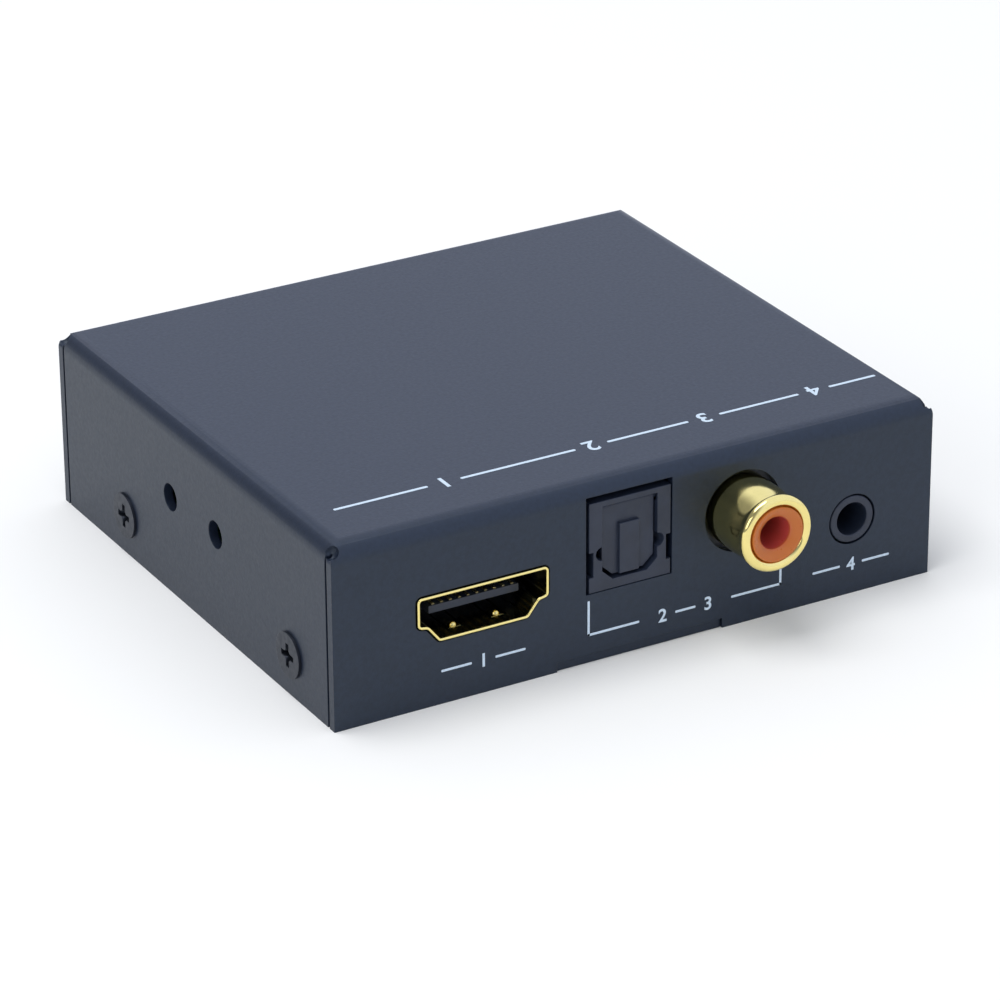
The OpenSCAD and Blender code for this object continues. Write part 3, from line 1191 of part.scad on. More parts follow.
// Small chip parts in rows, each with two metal ends
chip_row_count = 5;
chip_row_pitch = 2.1;
chip_end_len = 0.3;
chip_end_proud = 0.03;
module chip_part() {
    translate([-chip_part_w / 2, -chip_part_len / 2 + chip_end_proud, chip_end_proud])
        cube([chip_part_w, chip_part_len - 2 * chip_end_proud, chip_part_h]);
    for (side = [0, 1]) mirror([0, side, 0])
        translate([-chip_part_w / 2 - chip_end_proud, chip_part_len / 2 - chip_end_len, 0])
            cube([chip_part_w + 2 * chip_end_proud, chip_end_len, chip_part_h + 2 * chip_end_proud]);
}
module chip_row(share) on_board(share) for (x = spread(chip_row_count, chip_row_pitch))
    translate([x, 0, 0]) chip_part();
module chip_capacitors() color("#a98a63") for (share = capacitor_row_shares) chip_row(share);
module chip_resistors() color("#26282d") for (share = resistor_row_shares) chip_row(share);

cover();
base_plate();
cover_screws();
board_standoffs();
board_screws();
circuit_board();
video_out_shell();
video_out_insulator();
video_out_contacts();
video_in_shell();
video_in_insulator();
video_in_contacts();
optical_housing();
optical_shutter();
optical_spring();
optical_emitter();
optical_leads();
coax_housing();
coax_barrel();
coax_insulator();
coax_centre_contact();
coax_earth_tab();
stereo_housing();
stereo_contacts();
power_housing();
power_pin();
power_spring_contact();
switch_frame();
switch_base();
switch_lever();
switch_wiper();
switch_terminals();
power_light();
power_light_leads();
video_chip();
video_chip_leads();
controller_chip();
controller_chip_leads();
audio_chip();
audio_chip_leads();
memory_chip();
memory_chip_leads();
crystal_can();
voltage_regulators();
power_coil();
capacitor_cans();
capacitor_feet();
chip_capacitors();
chip_resistors();
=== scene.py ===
import json
import math

import bmesh
import bpy
from bpy.props import FloatProperty, FloatVectorProperty, IntProperty, PointerProperty
from bpy.types import Operator, Panel, PropertyGroup
from mathutils import Matrix, Vector


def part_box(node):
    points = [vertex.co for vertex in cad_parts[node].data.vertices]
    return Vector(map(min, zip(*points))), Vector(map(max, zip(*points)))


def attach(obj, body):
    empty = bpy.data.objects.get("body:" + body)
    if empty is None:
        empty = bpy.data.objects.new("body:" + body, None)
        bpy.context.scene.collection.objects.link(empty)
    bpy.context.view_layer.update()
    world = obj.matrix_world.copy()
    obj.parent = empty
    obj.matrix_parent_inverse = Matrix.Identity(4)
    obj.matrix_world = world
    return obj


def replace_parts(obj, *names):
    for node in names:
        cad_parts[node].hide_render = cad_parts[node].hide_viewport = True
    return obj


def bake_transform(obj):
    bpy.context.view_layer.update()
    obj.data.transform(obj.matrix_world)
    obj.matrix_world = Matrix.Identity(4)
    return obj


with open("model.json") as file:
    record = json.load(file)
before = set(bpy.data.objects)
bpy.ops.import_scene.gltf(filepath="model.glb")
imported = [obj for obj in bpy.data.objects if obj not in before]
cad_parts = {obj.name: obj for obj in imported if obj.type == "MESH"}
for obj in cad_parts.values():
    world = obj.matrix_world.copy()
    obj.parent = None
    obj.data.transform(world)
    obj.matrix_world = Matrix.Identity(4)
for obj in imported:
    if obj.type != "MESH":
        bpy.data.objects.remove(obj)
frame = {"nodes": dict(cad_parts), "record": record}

bl_info = {
    "name": "Digital audio extractor",
    "version": (1, 0, 0),
    "blender": (4, 5, 0),
    "location": "View3D > Sidebar > Extractor",
    "description": "Dresses the packed audio extractor and sets up its stage",
    "category": "Object",
}

MM = 0.001
CASE = "case"

# The walls' outer faces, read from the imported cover
CASE_LOW, CASE_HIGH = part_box("cover")

# Points nearer to each other than this are one point
WELD = 0.0005 * MM
# How near to a face a point counts as lying on it
ON_FACE = 0.001 * MM
# Edges bent less than this are dissolved, and edges bent more than this are rounded, in degrees
FLAT_BEND = 0.4
SHARP_BEND = 32
# Segments across a rounded edge
EDGE_SEGMENTS = 3


# Settings

class CaseSettings(PropertyGroup):
    """Sizes and colours of the sheet-metal case."""

    edge_radius: FloatProperty(
        name="Edge radius", description="Rounding of the cut sheet edges under the coat",
        default=0.12 * MM, min=0.02 * MM, max=0.2 * MM, unit="LENGTH", precision=5)
    coat_sink: FloatProperty(
        name="Coat sink", description="How far the top's coat lies under the print",
        default=0.02 * MM, min=0.0, max=0.05 * MM, unit="LENGTH", precision=5)
    coat_colour: FloatVectorProperty(
        name="Coat colour", description="Body colour of the powder coat",
        default=(0.0066, 0.0108, 0.0235), subtype="COLOR", size=3, min=0.0, max=1.0)
    coat_gloss: FloatProperty(
        name="Coat roughness", description="Roughness of the powder coat",
        default=0.42, min=0.1, max=0.9)
    grain_size: FloatProperty(
        name="Grain size", description="Size of the powder coat's grain",
        default=0.22 * MM, min=0.05 * MM, max=1.0 * MM, unit="LENGTH", precision=5)
    screw_colour: FloatVectorProperty(
        name="Screw colour", description="Colour of the black zinc on the screws",
        default=(0.032, 0.038, 0.052), subtype="COLOR", size=3, min=0.0, max=1.0)


class SocketSettings(PropertyGroup):
    """Sizes and colours of the sockets."""

    edge_radius: FloatProperty(
        name="Moulded edge", description="Rounding of the moulded edges",
        default=0.07 * MM, min=0.02 * MM, max=0.15 * MM, unit="LENGTH", precision=5)
    shell_edge: FloatProperty(
        name="Shell edge", description="Rounding of the rims of the folded shells",
        default=0.13 * MM, min=0.01 * MM, max=0.15 * MM, unit="LENGTH", precision=5)
    turn_steps: IntProperty(
        name="Turning steps", description="Steps round each turned piece",
        default=144, min=48, max=256)
    gold_colour: FloatVectorProperty(
        name="Gold colour", description="Colour of the gold plating",
        default=(0.90, 0.76, 0.29), subtype="COLOR", size=3, min=0.0, max=1.0)
    contact_colour: FloatVectorProperty(
        name="Contact colour", description="Colour of the contacts' satin plating",
        default=(0.62, 0.52, 0.27), subtype="COLOR", size=3, min=0.0, max=1.0)
    insert_colour: FloatVectorProperty(
        name="Insert colour", description="Colour of the coaxial jack's insert",
        default=(0.48, 0.125, 0.012), subtype="COLOR", size=3, min=0.0, max=1.0)
    # Partly the insert's own red, partly painted shade: the darker red deep in the coaxial jack's bore
    bore_red_and_shade: FloatVectorProperty(
        name="Bore colour", description="Colour deep inside the coaxial jack's insert",
        default=(0.50, 0.065, 0.055), subtype="COLOR", size=3, min=0.0, max=1.0)
    plastic_colour: FloatVectorProperty(
        name="Plastic colour", description="Colour of the dark moulded plastic",
        default=(0.013, 0.019, 0.036), subtype="COLOR", size=3, min=0.0, max=1.0)


class MarkSettings(PropertyGroup):
    """Sizes and colours of the print on the walls."""

    print_height: FloatProperty(
        name="Print thickness", description="Thickness of the printed ink",
        default=0.02 * MM, min=0.005 * MM, max=0.05 * MM, unit="LENGTH", precision=5)
    line_width: FloatProperty(
        name="Line width", description="Width of the printed lines",
        default=0.26 * MM, min=0.1 * MM, max=0.6 * MM, unit="LENGTH", precision=5)
    label_height: FloatProperty(
        name="Numeral height", description="Height of the numerals on the end walls",
        default=1.5 * MM, min=0.8 * MM, max=2.5 * MM, unit="LENGTH", precision=5)
    top_height: FloatProperty(
        name="Top numeral height", description="Height of the numerals on the top",
        default=2.2 * MM, min=1.0 * MM, max=4.0 * MM, unit="LENGTH", precision=5)
    ink_colour: FloatVectorProperty(
        name="Ink colour", description="Colour of the printed ink",
        default=(0.60, 0.72, 0.86), subtype="COLOR", size=3, min=0.0, max=1.0)


class StageSettings(PropertyGroup):
    """Camera, floor and light."""

    lens: FloatProperty(
        name="Lens", description="Focal length of the camera in millimetres",
        default=177.32, min=20.0, max=400.0)
    sky_level: FloatProperty(
        name="Sky level", description="Strength of the plain studio light",
        default=0.76, min=0.0, max=2.0)
    reflected_sky: FloatVectorProperty(
        name="Reflected sky", description="Colour of the cool studio ceiling in reflections",
        default=(0.98, 1.04, 1.26), subtype="COLOR", size=3, min=0.0, max=2.0)
    card_level: FloatProperty(
        name="Card level", description="Level of the dark card at the left, seen in reflections only",
        default=0.3, min=0.0, max=1.0)
    key_power: FloatProperty(
        name="Key power", description="Power of the soft overhead lamp in watts",
        default=3.8, min=0.0, max=50.0)
    floor_colour: FloatVectorProperty(
        name="Floor colour", description="Colour of the pale floor",
        default=(0.90, 0.90, 0.90), subtype="COLOR", size=3, min=0.0, max=1.0)


# Materials

class Finish:
    """A procedural material: a shader with noise in object coordinates and softly rounded edges."""

    rounding_samples = 4

    def __init__(self, name, colour, metallic=0.0, roughness=0.5, specular=0.5, edge=0.05 * MM):
        self.material = bpy.data.materials.new(name)
        self.material.use_nodes = True
        self.material.diffuse_color = (*colour, 1.0)
        self.nodes = self.material.node_tree.nodes
        self.links = self.material.node_tree.links
        self.shader = self.nodes["Principled BSDF"]
        self.colour = colour
        self.socket("Base Color").default_value = (*colour, 1.0)
        self.socket("Metallic").default_value = metallic
        self.socket("Roughness").default_value = roughness
        self.socket("Specular IOR Level").default_value = specular
        self.coords = self.nodes.new("ShaderNodeTexCoord").outputs["Object"]
        rounding = self.nodes.new("ShaderNodeBevel")
        rounding.samples = self.rounding_samples
        rounding.inputs["Radius"].default_value = edge
        self.relief = rounding.outputs["Normal"]
        self.links.new(self.relief, self.socket("Normal"))

    def socket(self, name):
        return self.shader.inputs[name]

    def noise(self, size, detail=3.0, rough=0.55, stretch=(1.0, 1.0, 1.0)):
        """Noise whose features have about the given size in metres."""
        source = self.coords
        if stretch != (1.0, 1.0, 1.0):
            mapping = self.nodes.new("ShaderNodeMapping")
            mapping.inputs["Scale"].default_value = stretch
            self.links.new(source, mapping.inputs["Vector"])
            source = mapping.outputs["Vector"]
        node = self.nodes.new("ShaderNodeTexNoise")
        node.inputs["Scale"].default_value = 1.0 / size
        node.inputs["Detail"].default_value = detail
        node.inputs["Roughness"].default_value = rough
        self.links.new(source, node.inputs["Vector"])
        return node.outputs["Fac"]

    def ramp(self, source, low, high, start=0.3, end=0.7):
        """Maps a value from start..end to low..high."""
        node = self.nodes.new("ShaderNodeMapRange")
        node.inputs["From Min"].default_value = start
        node.inputs["From Max"].default_value = end
        node.inputs["To Min"].default_value = low
        node.inputs["To Max"].default_value = high
        self.links.new(source, node.inputs["Value"])
        return node.outputs["Result"]

    def vary_roughness(self, size, low, high, **options):
        """Spreads the roughness over noise, between two levels."""
        self.links.new(self.ramp(self.noise(size, **options), low, high), self.socket("Roughness"))

    def blend_colour(self, factor, other):
        """Blends between the finish's colour at factor 0 and another one at 1."""
        node = self.nodes.new("ShaderNodeMix")
        node.data_type = "RGBA"
        node.inputs["A"].default_value = (*self.colour, 1.0)
        node.inputs["B"].default_value = (*other, 1.0)
        self.links.new(factor, node.inputs["Factor"])
        self.links.new(node.outputs["Result"], self.socket("Base Color"))

    def vary_colour(self, size, other, start=0.35, end=0.65, **options):
        """Blends between the finish's colour and another one over noise."""
        self.blend_colour(self.ramp(self.noise(size, **options), 0.0, 1.0, start, end), other)

    def shade_along_y(self, start, end, other, both_ways=False):
        """Blends from the finish's colour at start to another one at end, and also at -Y if both_ways."""
        split = self.nodes.new("ShaderNodeSeparateXYZ")
        self.links.new(self.coords, split.inputs[0])
        place = split.outputs["Y"]
        if both_ways:
            distance = self.nodes.new("ShaderNodeMath")
            distance.operation = "ABSOLUTE"
            self.links.new(place, distance.inputs[0])
            place = distance.outputs[0]
        self.blend_colour(self.ramp(place, 0.0, 1.0, start, end), other)

    def bump(self, size, depth, **options):
        """Adds noise relief of the given depth in metres."""
        node = self.nodes.new("ShaderNodeBump")
        node.inputs["Strength"].default_value = 1.0
        node.inputs["Distance"].default_value = depth
        self.links.new(self.noise(size, **options), node.inputs["Height"])
        self.links.new(self.relief, node.inputs["Normal"])
        self.relief = node.outputs["Normal"]
        self.links.new(self.relief, self.socket("Normal"))


def tint(colour, share):
    """The colour made lighter or darker by a share."""
    return tuple(min(1.0, c * share) for c in colour)


def powder_coat(settings):
    coat = Finish("powder_coat", tuple(settings.coat_colour), roughness=settings.coat_gloss, specular=0.5,
                  edge=settings.edge_radius)
    coat.vary_colour(0.5 * MM, tint(settings.coat_colour, 1.3), detail=2.0)
    coat.vary_roughness(0.4 * MM, settings.coat_gloss - 0.03, settings.coat_gloss + 0.04)
    coat.bump(0.9 * MM, 0.006 * MM, detail=2.0)
    coat.bump(settings.grain_size, 0.012 * MM, detail=2.0, rough=0.6)
    cool_gloss = (0.78, 0.90, 1.0)
    coat.socket("Specular Tint").default_value = (*cool_gloss, 1.0)
    return coat.material


def black_zinc(settings):
    zinc = Finish("black_zinc", tuple(settings.screw_colour), metallic=0.75, roughness=0.4)
    zinc.vary_roughness(0.6 * MM, 0.32, 0.5)
    zinc.bump(0.12 * MM, 0.004 * MM)
    return zinc.material


def plain_steel():
    steel = Finish("zinc_steel", (0.60, 0.61, 0.63), metallic=1.0, roughness=0.3)
    steel.vary_roughness(0.8 * MM, 0.22, 0.4)
    steel.vary_colour(1.6 * MM, (0.50, 0.51, 0.53))
    steel.bump(0.1 * MM, 0.002 * MM)
    return steel.material


def bright_gold(name, settings):
    """The even gold that both gold finishes start from."""
    gold = Finish(name, tuple(settings.gold_colour), metallic=1.0, roughness=0.12)
    gold.vary_roughness(1.4 * MM, 0.09, 0.18)
    gold.bump(0.5 * MM, 0.0012 * MM, detail=2.0)
    return gold


def gold_plate(settings):
    gold = bright_gold("gold_plate", settings)
    gold.vary_colour(2.2 * MM, tint(settings.gold_colour, 0.93))
    return gold.material


def shell_plate(settings):
    """Gold at the mouths of the video sockets, with painted shade that turns it dark grey inside, on both
    walls.
    """
    shell = bright_gold("shell_plate", settings)
    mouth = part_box("video_in_shell")[1].y
    # Painted shade: between these depths behind the mouth, the gold turns to a dark grey that stands for the
    # shade inside the shells
    shade_start_depth, full_shade_depth = 1.6 * MM, 2.6 * MM
    painted_shade_grey = (0.10, 0.10, 0.09)
    shell.shade_along_y(mouth - shade_start_depth, mouth - full_shade_depth, painted_shade_grey, both_ways=True)
    return shell.material


def contact_plate(settings):
    plate = Finish("contact_plate", tuple(settings.contact_colour), metallic=1.0, roughness=0.3)
    plate.vary_roughness(0.5 * MM, 0.22, 0.4)
    plate.bump(0.15 * MM, 0.002 * MM)
    return plate.material


def dark_plastic(settings):
    plastic = Finish("dark_plastic", tuple(settings.plastic_colour), roughness=0.42, specular=0.45)
    plastic.vary_roughness(0.9 * MM, 0.36, 0.5)
    plastic.vary_colour(2.5 * MM, tint(settings.plastic_colour, 1.3))
    plastic.bump(0.16 * MM, 0.004 * MM)
    return plastic.material


def orange_plastic(settings):
    plastic = Finish("orange_plastic", tuple(settings.insert_colour), roughness=0.32, specular=0.5)
    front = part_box("coax_barrel")[0].y
    rim_depth, bore_depth = 0.45 * MM, 0.9 * MM
    # Partly painted shade: from the rim into the bore the insert turns to the darker red
    plastic.shade_along_y(front + rim_depth, front + bore_depth, tuple(settings.bore_red_and_shade))
    plastic.vary_roughness(0.7 * MM, 0.26, 0.4)
    plastic.bump(0.3 * MM, 0.002 * MM)
    plastic.socket("Subsurface Weight").default_value = 0.15
    plastic.socket("Subsurface Radius").default_value = (1.0, 0.25, 0.05)
    plastic.socket("Subsurface Scale").default_value = 0.4 * MM
    return plastic.material


def printed_ink(settings):
    ink = Finish("printed_ink", tuple(settings.ink_colour), roughness=0.6, specular=0.3)
    ink.vary_colour(0.35 * MM, tint(settings.ink_colour, 0.9))
    ink.bump(0.12 * MM, 0.002 * MM)
    return ink.material


def clear_resin():
    resin = Finish("clear_resin", (0.62, 0.72, 0.90), roughness=0.12, specular=0.5)
    resin.vary_roughness(0.6 * MM, 0.08, 0.18)
    resin.bump(0.4 * MM, 0.001 * MM)
    resin.socket("Transmission Weight").default_value = 0.55
    return resin.material


def solder_mask():
    mask = Finish("solder_mask", (0.012, 0.11, 0.045), roughness=0.3, specular=0.5)
    mask.vary_colour(1.3 * MM, (0.02, 0.17, 0.065), start=0.48, end=0.52, detail=0.0)
    mask.vary_roughness(1.0 * MM, 0.24, 0.38)
    mask.bump(1.3 * MM, 0.02 * MM, detail=0.0)
    return mask.material


def chip_epoxy():
    epoxy = Finish("chip_epoxy", (0.014, 0.0145, 0.016), roughness=0.55, specular=0.4)
    epoxy.vary_roughness(0.3 * MM, 0.5, 0.65)
    epoxy.bump(0.08 * MM, 0.004 * MM)
    return epoxy.material


def drawn_aluminium():
    aluminium = Finish("drawn_aluminium", (0.74, 0.75, 0.77), metallic=1.0, roughness=0.28)
    aluminium.vary_roughness(0.25 * MM, 0.2, 0.38, stretch=(1.0, 1.0, 0.1))
    aluminium.bump(0.15 * MM, 0.002 * MM, stretch=(1.0, 1.0, 0.1))
    return aluminium.material


def brown_laminate():
    laminate = Finish("brown_laminate", (0.30, 0.17, 0.08), roughness=0.6)
    laminate.vary_colour(0.3 * MM, (0.22, 0.12, 0.05), stretch=(0.2, 1.0, 1.0))
    laminate.bump(0.2 * MM, 0.006 * MM)
    return laminate.material


def tan_ceramic():
    ceramic = Finish("tan_ceramic", (0.42, 0.29, 0.16), roughness=0.5)
    ceramic.vary_colour(0.4 * MM, (0.50, 0.36, 0.22))
    ceramic.bump(0.1 * MM, 0.004 * MM)
    return ceramic.material


def grey_ferrite():
    ferrite = Finish("grey_ferrite", (0.10, 0.105, 0.115), roughness=0.6)
    ferrite.vary_colour(0.3 * MM, (0.14, 0.145, 0.155))
    ferrite.bump(0.12 * MM, 0.008 * MM)
    return ferrite.material


SLOT_FINISHES = {
    "case_coat": lambda scene: powder_coat(scene.extractor_case),
    "screw_black": lambda scene: black_zinc(scene.extractor_case),
    "steel": lambda scene: plain_steel(),
    "gold_plate": lambda scene: gold_plate(scene.extractor_sockets),
    "shell_plate": lambda scene: shell_plate(scene.extractor_sockets),
    "contact_metal": lambda scene: contact_plate(scene.extractor_sockets),
    "socket_plastic": lambda scene: dark_plastic(scene.extractor_sockets),
    "insert_orange": lambda scene: orange_plastic(scene.extractor_sockets),
    "board_green": lambda scene: solder_mask(),
    "chip_black": lambda scene: chip_epoxy(),
    "lamp_clear": lambda scene: clear_resin(),
    "board_brown": lambda scene: brown_laminate(),
    "can_aluminium": lambda scene: drawn_aluminium(),
    "ceramic_tan": lambda scene: tan_ceramic(),
    "ferrite_grey": lambda scene: grey_ferrite(),
    "ink": lambda scene: printed_ink(scene.extractor_marks),
}
made_finishes = {}


def finish_for(scene, slot):
    """The material of a slot, made when it is first asked for."""
    if slot not in made_finishes:
        made_finishes[slot] = SLOT_FINISHES[slot](scene)
    return made_finishes[slot]


# Mesh helpers

def slot_of(node):
    return next(part["material_slot"] for part in frame["record"]["subparts"] if part["node"] == node)


def body_of(node):
    bodies = frame["record"]["behaviour"]["bodies"]
    return next(body for body, nodes in bodies.items() if node in nodes)


def new_piece(scene, name, bm, slot, body=CASE, smooth_angle=35.0):
    """Makes a finished piece of a bmesh and lets it ride on its body, if it has one."""
    mesh = bpy.data.meshes.new(name)
    bm.to_mesh(mesh)
    bm.free()
    mesh.materials.append(finish_for(scene, slot))
    mesh.shade_smooth()
    mesh.set_sharp_from_angle(angle=math.radians(smooth_angle))
    piece = bpy.data.objects.new(name, mesh)
    scene.collection.objects.link(piece)
    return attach(piece, body) if body else piece


def softened(scene, node, name, radius=0.0, near=None):
    """A piece that stands for a node, with its sharp edges rounded, or only those that near() picks."""
    bm = bmesh.new()
    bm.from_mesh(frame["nodes"][node].data)
    bmesh.ops.remove_doubles(bm, verts=bm.verts, dist=WELD)
    bmesh.ops.dissolve_limit(bm, angle_limit=math.radians(FLAT_BEND), verts=bm.verts, edges=bm.edges)
    if radius:
        sharp = [e for e in bm.edges if e.calc_face_angle(0.0) > math.radians(SHARP_BEND)]
        if near is not None:
            sharp = [e for e in sharp if all(near(v.co) for v in e.verts)]
        bmesh.ops.bevel(bm, geom=sharp, offset=radius, offset_type="OFFSET", segments=EDGE_SEGMENTS,
                        profile=0.5, affect="EDGES", material=-1, clamp_overlap=False)
    piece = new_piece(scene, name, bm, slot_of(node), body_of(node), smooth_angle=36.0)
    weighted = piece.modifiers.new("Flat faces", "WEIGHTED_NORMAL")
    weighted.keep_sharp = True
    weighted.weight = 100
    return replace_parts(piece, node)


def at_front(node):
    """Picks points on the front face of a node."""
    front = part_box(node)[0].y
    return lambda point: point.y < front + ON_FACE


def at_back(node):
    """Picks points on the back face of a node."""
    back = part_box(node)[1].y
    return lambda point: point.y > back - ON_FACE


def middle_of(node):
    """The middle of a node's box."""
    low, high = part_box(node)
    return (low + high) / 2


def paint(scene, *nodes):
    """Gives CAD nodes their finish through their own material slots."""
    for node in nodes:
        for slot in frame["nodes"][node].material_slots:
            slot.material = finish_for(scene, slot_of(node))


def turned(outline, steps, node):
    """A closed solid turned about a node's middle line along Y, from an outline of (radius, y)."""
    middle = middle_of(node)
    bm = bmesh.new()
    verts = [bm.verts.new((radius, y, 0.0)) for radius, y in outline]
    edges = [bm.edges.new((verts[i], verts[(i + 1) % len(verts)])) for i in range(len(verts))]
    bmesh.ops.spin(
        bm, geom=verts + edges, cent=(0.0, 0.0, 0.0), axis=(0.0, 1.0, 0.0),
        angle=2 * math.pi, steps=steps, use_merge=True)
    bmesh.ops.remove_doubles(bm, verts=bm.verts, dist=WELD)
    bmesh.ops.recalc_face_normals(bm, faces=bm.faces)
    bmesh.ops.translate(bm, verts=bm.verts, vec=(middle.x, 0.0, middle.z))
    return bm


def arc(cx, cy, radius, start, end, steps):
    """Points of an arc in an outline, angles in degrees."""
    angles = [math.radians(start + (end - start) * i / steps) for i in range(steps + 1)]
    return [(cx + radius * math.cos(a), cy + radius * math.sin(a)) for a in angles]


# Pieces

class EXTRACTOR_OT_cover(Operator):
    """Make the cover and the base plate with rounded sheet edges under the powder coat"""

    bl_idname = "extractor.cover"
    bl_label = "Cover and base plate"

    def execute(self, context):
        scene = context.scene
        settings = scene.extractor_case
        cover = softened(scene, "cover", "case_cover")
        for vert in cover.data.vertices:
            vert.co.z = min(vert.co.z, CASE_HIGH.z - settings.coat_sink)
        softened(scene, "base_plate", "case_floor")
        return {"FINISHED"}


class EXTRACTOR_OT_cover_screws(Operator):
    """Make the four cover screws with rounded rims"""

    bl_idname = "extractor.cover_screws"
    bl_label = "Cover screws"

    def execute(self, context):
        scene = context.scene
        softened(scene, "cover_screws", "side_screws")
        return {"FINISHED"}


class EXTRACTOR_OT_video_sockets(Operator):
    """Make the gold shells of both video sockets and finish their plastic and contacts"""

    bl_idname = "extractor.video_sockets"
    bl_label = "Video sockets"

    def execute(self, context):
        scene = context.scene
        edge = scene.extractor_sockets.shell_edge
        for shell in (
                softened(scene, "video_out_shell", "video_out_shell_gold", edge, at_front("video_out_shell")),
                softened(scene, "video_in_shell", "video_in_shell_gold", edge, at_back("video_in_shell"))):
            # The shells take the gold with painted shade inside
            shell.data.materials[0] = finish_for(scene, "shell_plate")
        softened(scene, "video_out_insulator", "video_out_tongue")
        softened(scene, "video_in_insulator", "video_in_tongue")
        paint(scene, "video_out_contacts", "video_in_contacts")
        return {"FINISHED"}


class EXTRACTOR_OT_optical_jack(Operator):
    """Make the optical jack's housing and shutter with moulded edges"""

    bl_idname = "extractor.optical_jack"
    bl_label = "Optical jack"

    def execute(self, context):
        scene = context.scene
        edge = scene.extractor_sockets.edge_radius
        softened(scene, "optical_housing", "optical_body", edge, near=at_front("optical_housing"))
        softened(scene, "optical_shutter", "optical_flap", edge, near=at_front("optical_shutter"))
        self.spring(scene, "optical_spring")
        paint(scene, "optical_emitter", "optical_leads")
        return {"FINISHED"}

    def spring(self, scene, node):
        """The return spring as a smooth piece with no body; in the jack its coil winds up as its arm follows
        the shutter.
        """
        bm = bmesh.new()
        bm.from_mesh(frame["nodes"][node].data)
        bmesh.ops.remove_doubles(bm, verts=bm.verts, dist=WELD)
        piece = new_piece(scene, "optical_coil", bm, slot_of(node), None, smooth_angle=60.0)
        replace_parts(piece, node)
        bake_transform(piece)


class EXTRACTOR_OT_coaxial_jack(Operator):
    """Turn the coaxial jack's gold barrel and its coloured insert"""

    bl_idname = "extractor.coaxial_jack"
    bl_label = "Coaxial jack"

    def execute(self, context):
        scene = context.scene
        settings = scene.extractor_sockets
        self.barrel(scene, settings)
        self.insert(scene, settings)
        softened(scene, "coax_housing", "coax_block", settings.edge_radius)
        paint(scene, "coax_centre_contact", "coax_earth_tab")
        return {"FINISHED"}

    def barrel(self, scene, settings):
        front, back = (corner.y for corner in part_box("coax_barrel"))
        bore_r, stem_r, neck_r, lip_r, flange_r = (r * MM for r in (3.0, 3.4, 4.0, 4.15, 4.9))
        lip_t = 1.18 * MM
        flange_t = 0.6 * MM
        flange_y = CASE_LOW.y + 1.2 * MM
        chamfer = 0.12 * MM
        # The neck widens slowly towards the wall: radii and places behind the lip in millimetres
        neck_points = ((3.76, 0.04), (3.74, 0.22), (3.76, 0.50), (3.81, 0.90),
                       (3.87, 1.30), (3.93, 1.75), (3.975, 2.25), (4.0, 2.8))
        outline = [(bore_r, back), (bore_r, front + lip_t / 2)]
        outline += arc(lip_r - lip_t / 2, front + lip_t / 2, lip_t / 2, 180, 420, 26)
        outline += [(radius * MM, front + lip_t + place * MM) for radius, place in neck_points]
        outline += [(neck_r, flange_y), (flange_r - chamfer, flange_y), (flange_r, flange_y + chamfer),
                    (flange_r, flange_y + flange_t), (stem_r, flange_y + flange_t), (stem_r, back)]
        bm = turned(outline, settings.turn_steps, "coax_barrel")
        piece = new_piece(scene, "coax_gold_barrel", bm, "gold_plate", smooth_angle=40.0)
        # The flange and stem behind the wall take the dark plastic: partly a dark washer, partly painted
        # shade in the gap round the barrel
        piece.data.materials.append(finish_for(scene, "socket_plastic"))
        for face in piece.data.polygons:
            if face.center.y > flange_y - ON_FACE:
                face.material_index = 1
        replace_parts(piece, "coax_barrel")

    def insert(self, scene, settings):
        recess, contact_gap = 0.02 * MM, 0.03 * MM
        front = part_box("coax_barrel")[0].y + recess
        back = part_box("coax_insulator")[1].y
        floor_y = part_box("coax_centre_contact")[0].y - contact_gap
        outer_r, bore_r, stem_bore_r = (r * MM for r in (2.97, 1.75, 2.13))
        edge = 0.12 * MM
        rim_w = 0.24 * MM
        # The shallow funnel's round way into the bore: steps outside the bore and depths in millimetres
        funnel_points = ((0.12, 0.52), (0.03, 0.58), (0.0, 0.70))
        outline = arc(outer_r - edge, front + edge, edge, 0, -90, 4) + [(outer_r - rim_w, front)]
        outline += [(bore_r + step * MM, front + depth * MM) for step, depth in funnel_points]
        outline += [(bore_r, floor_y), (stem_bore_r, floor_y), (stem_bore_r, back), (outer_r, back)]
        bm = turned(outline, settings.turn_steps, "coax_insulator")
        piece = new_piece(scene, "coax_colour_insert", bm, "insert_orange", smooth_angle=40.0)
        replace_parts(piece, "coax_insulator")


class EXTRACTOR_OT_stereo_jack(Operator):
    """Make the stereo jack's body with its rounded nose"""

    bl_idname = "extractor.stereo_jack"
    bl_label = "Stereo jack"

    def execute(self, context):
        scene = context.scene
        softened(scene, "stereo_housing", "stereo_body", scene.extractor_sockets.edge_radius * 2,
                 near=at_front("stereo_housing"))
        paint(scene, "stereo_contacts")
        return {"FINISHED"}


class EXTRACTOR_OT_power_jack(Operator):
    """Make the power jack's body and finish its pin and spring"""

    bl_idname = "extractor.power_jack"
    bl_label = "Power jack"

    def execute(self, context):
        scene = context.scene
        softened(scene, "power_housing", "power_body", scene.extractor_sockets.edge_radius * 2)
        paint(scene, "power_pin", "power_spring_contact")
        return {"FINISHED"}


class EXTRACTOR_OT_mode_switch(Operator):
    """Make the mode switch's frame and lever"""

    bl_idname = "extractor.mode_switch"
    bl_label = "Mode switch"

    def execute(self, context):
        scene = context.scene
        edge = scene.extractor_sockets.edge_radius
        softened(scene, "switch_frame", "switch_case", edge)
        softened(scene, "switch_lever", "switch_knob", edge * 2)
        paint(scene, "switch_base", "switch_wiper", "switch_terminals")
        return {"FINISHED"}


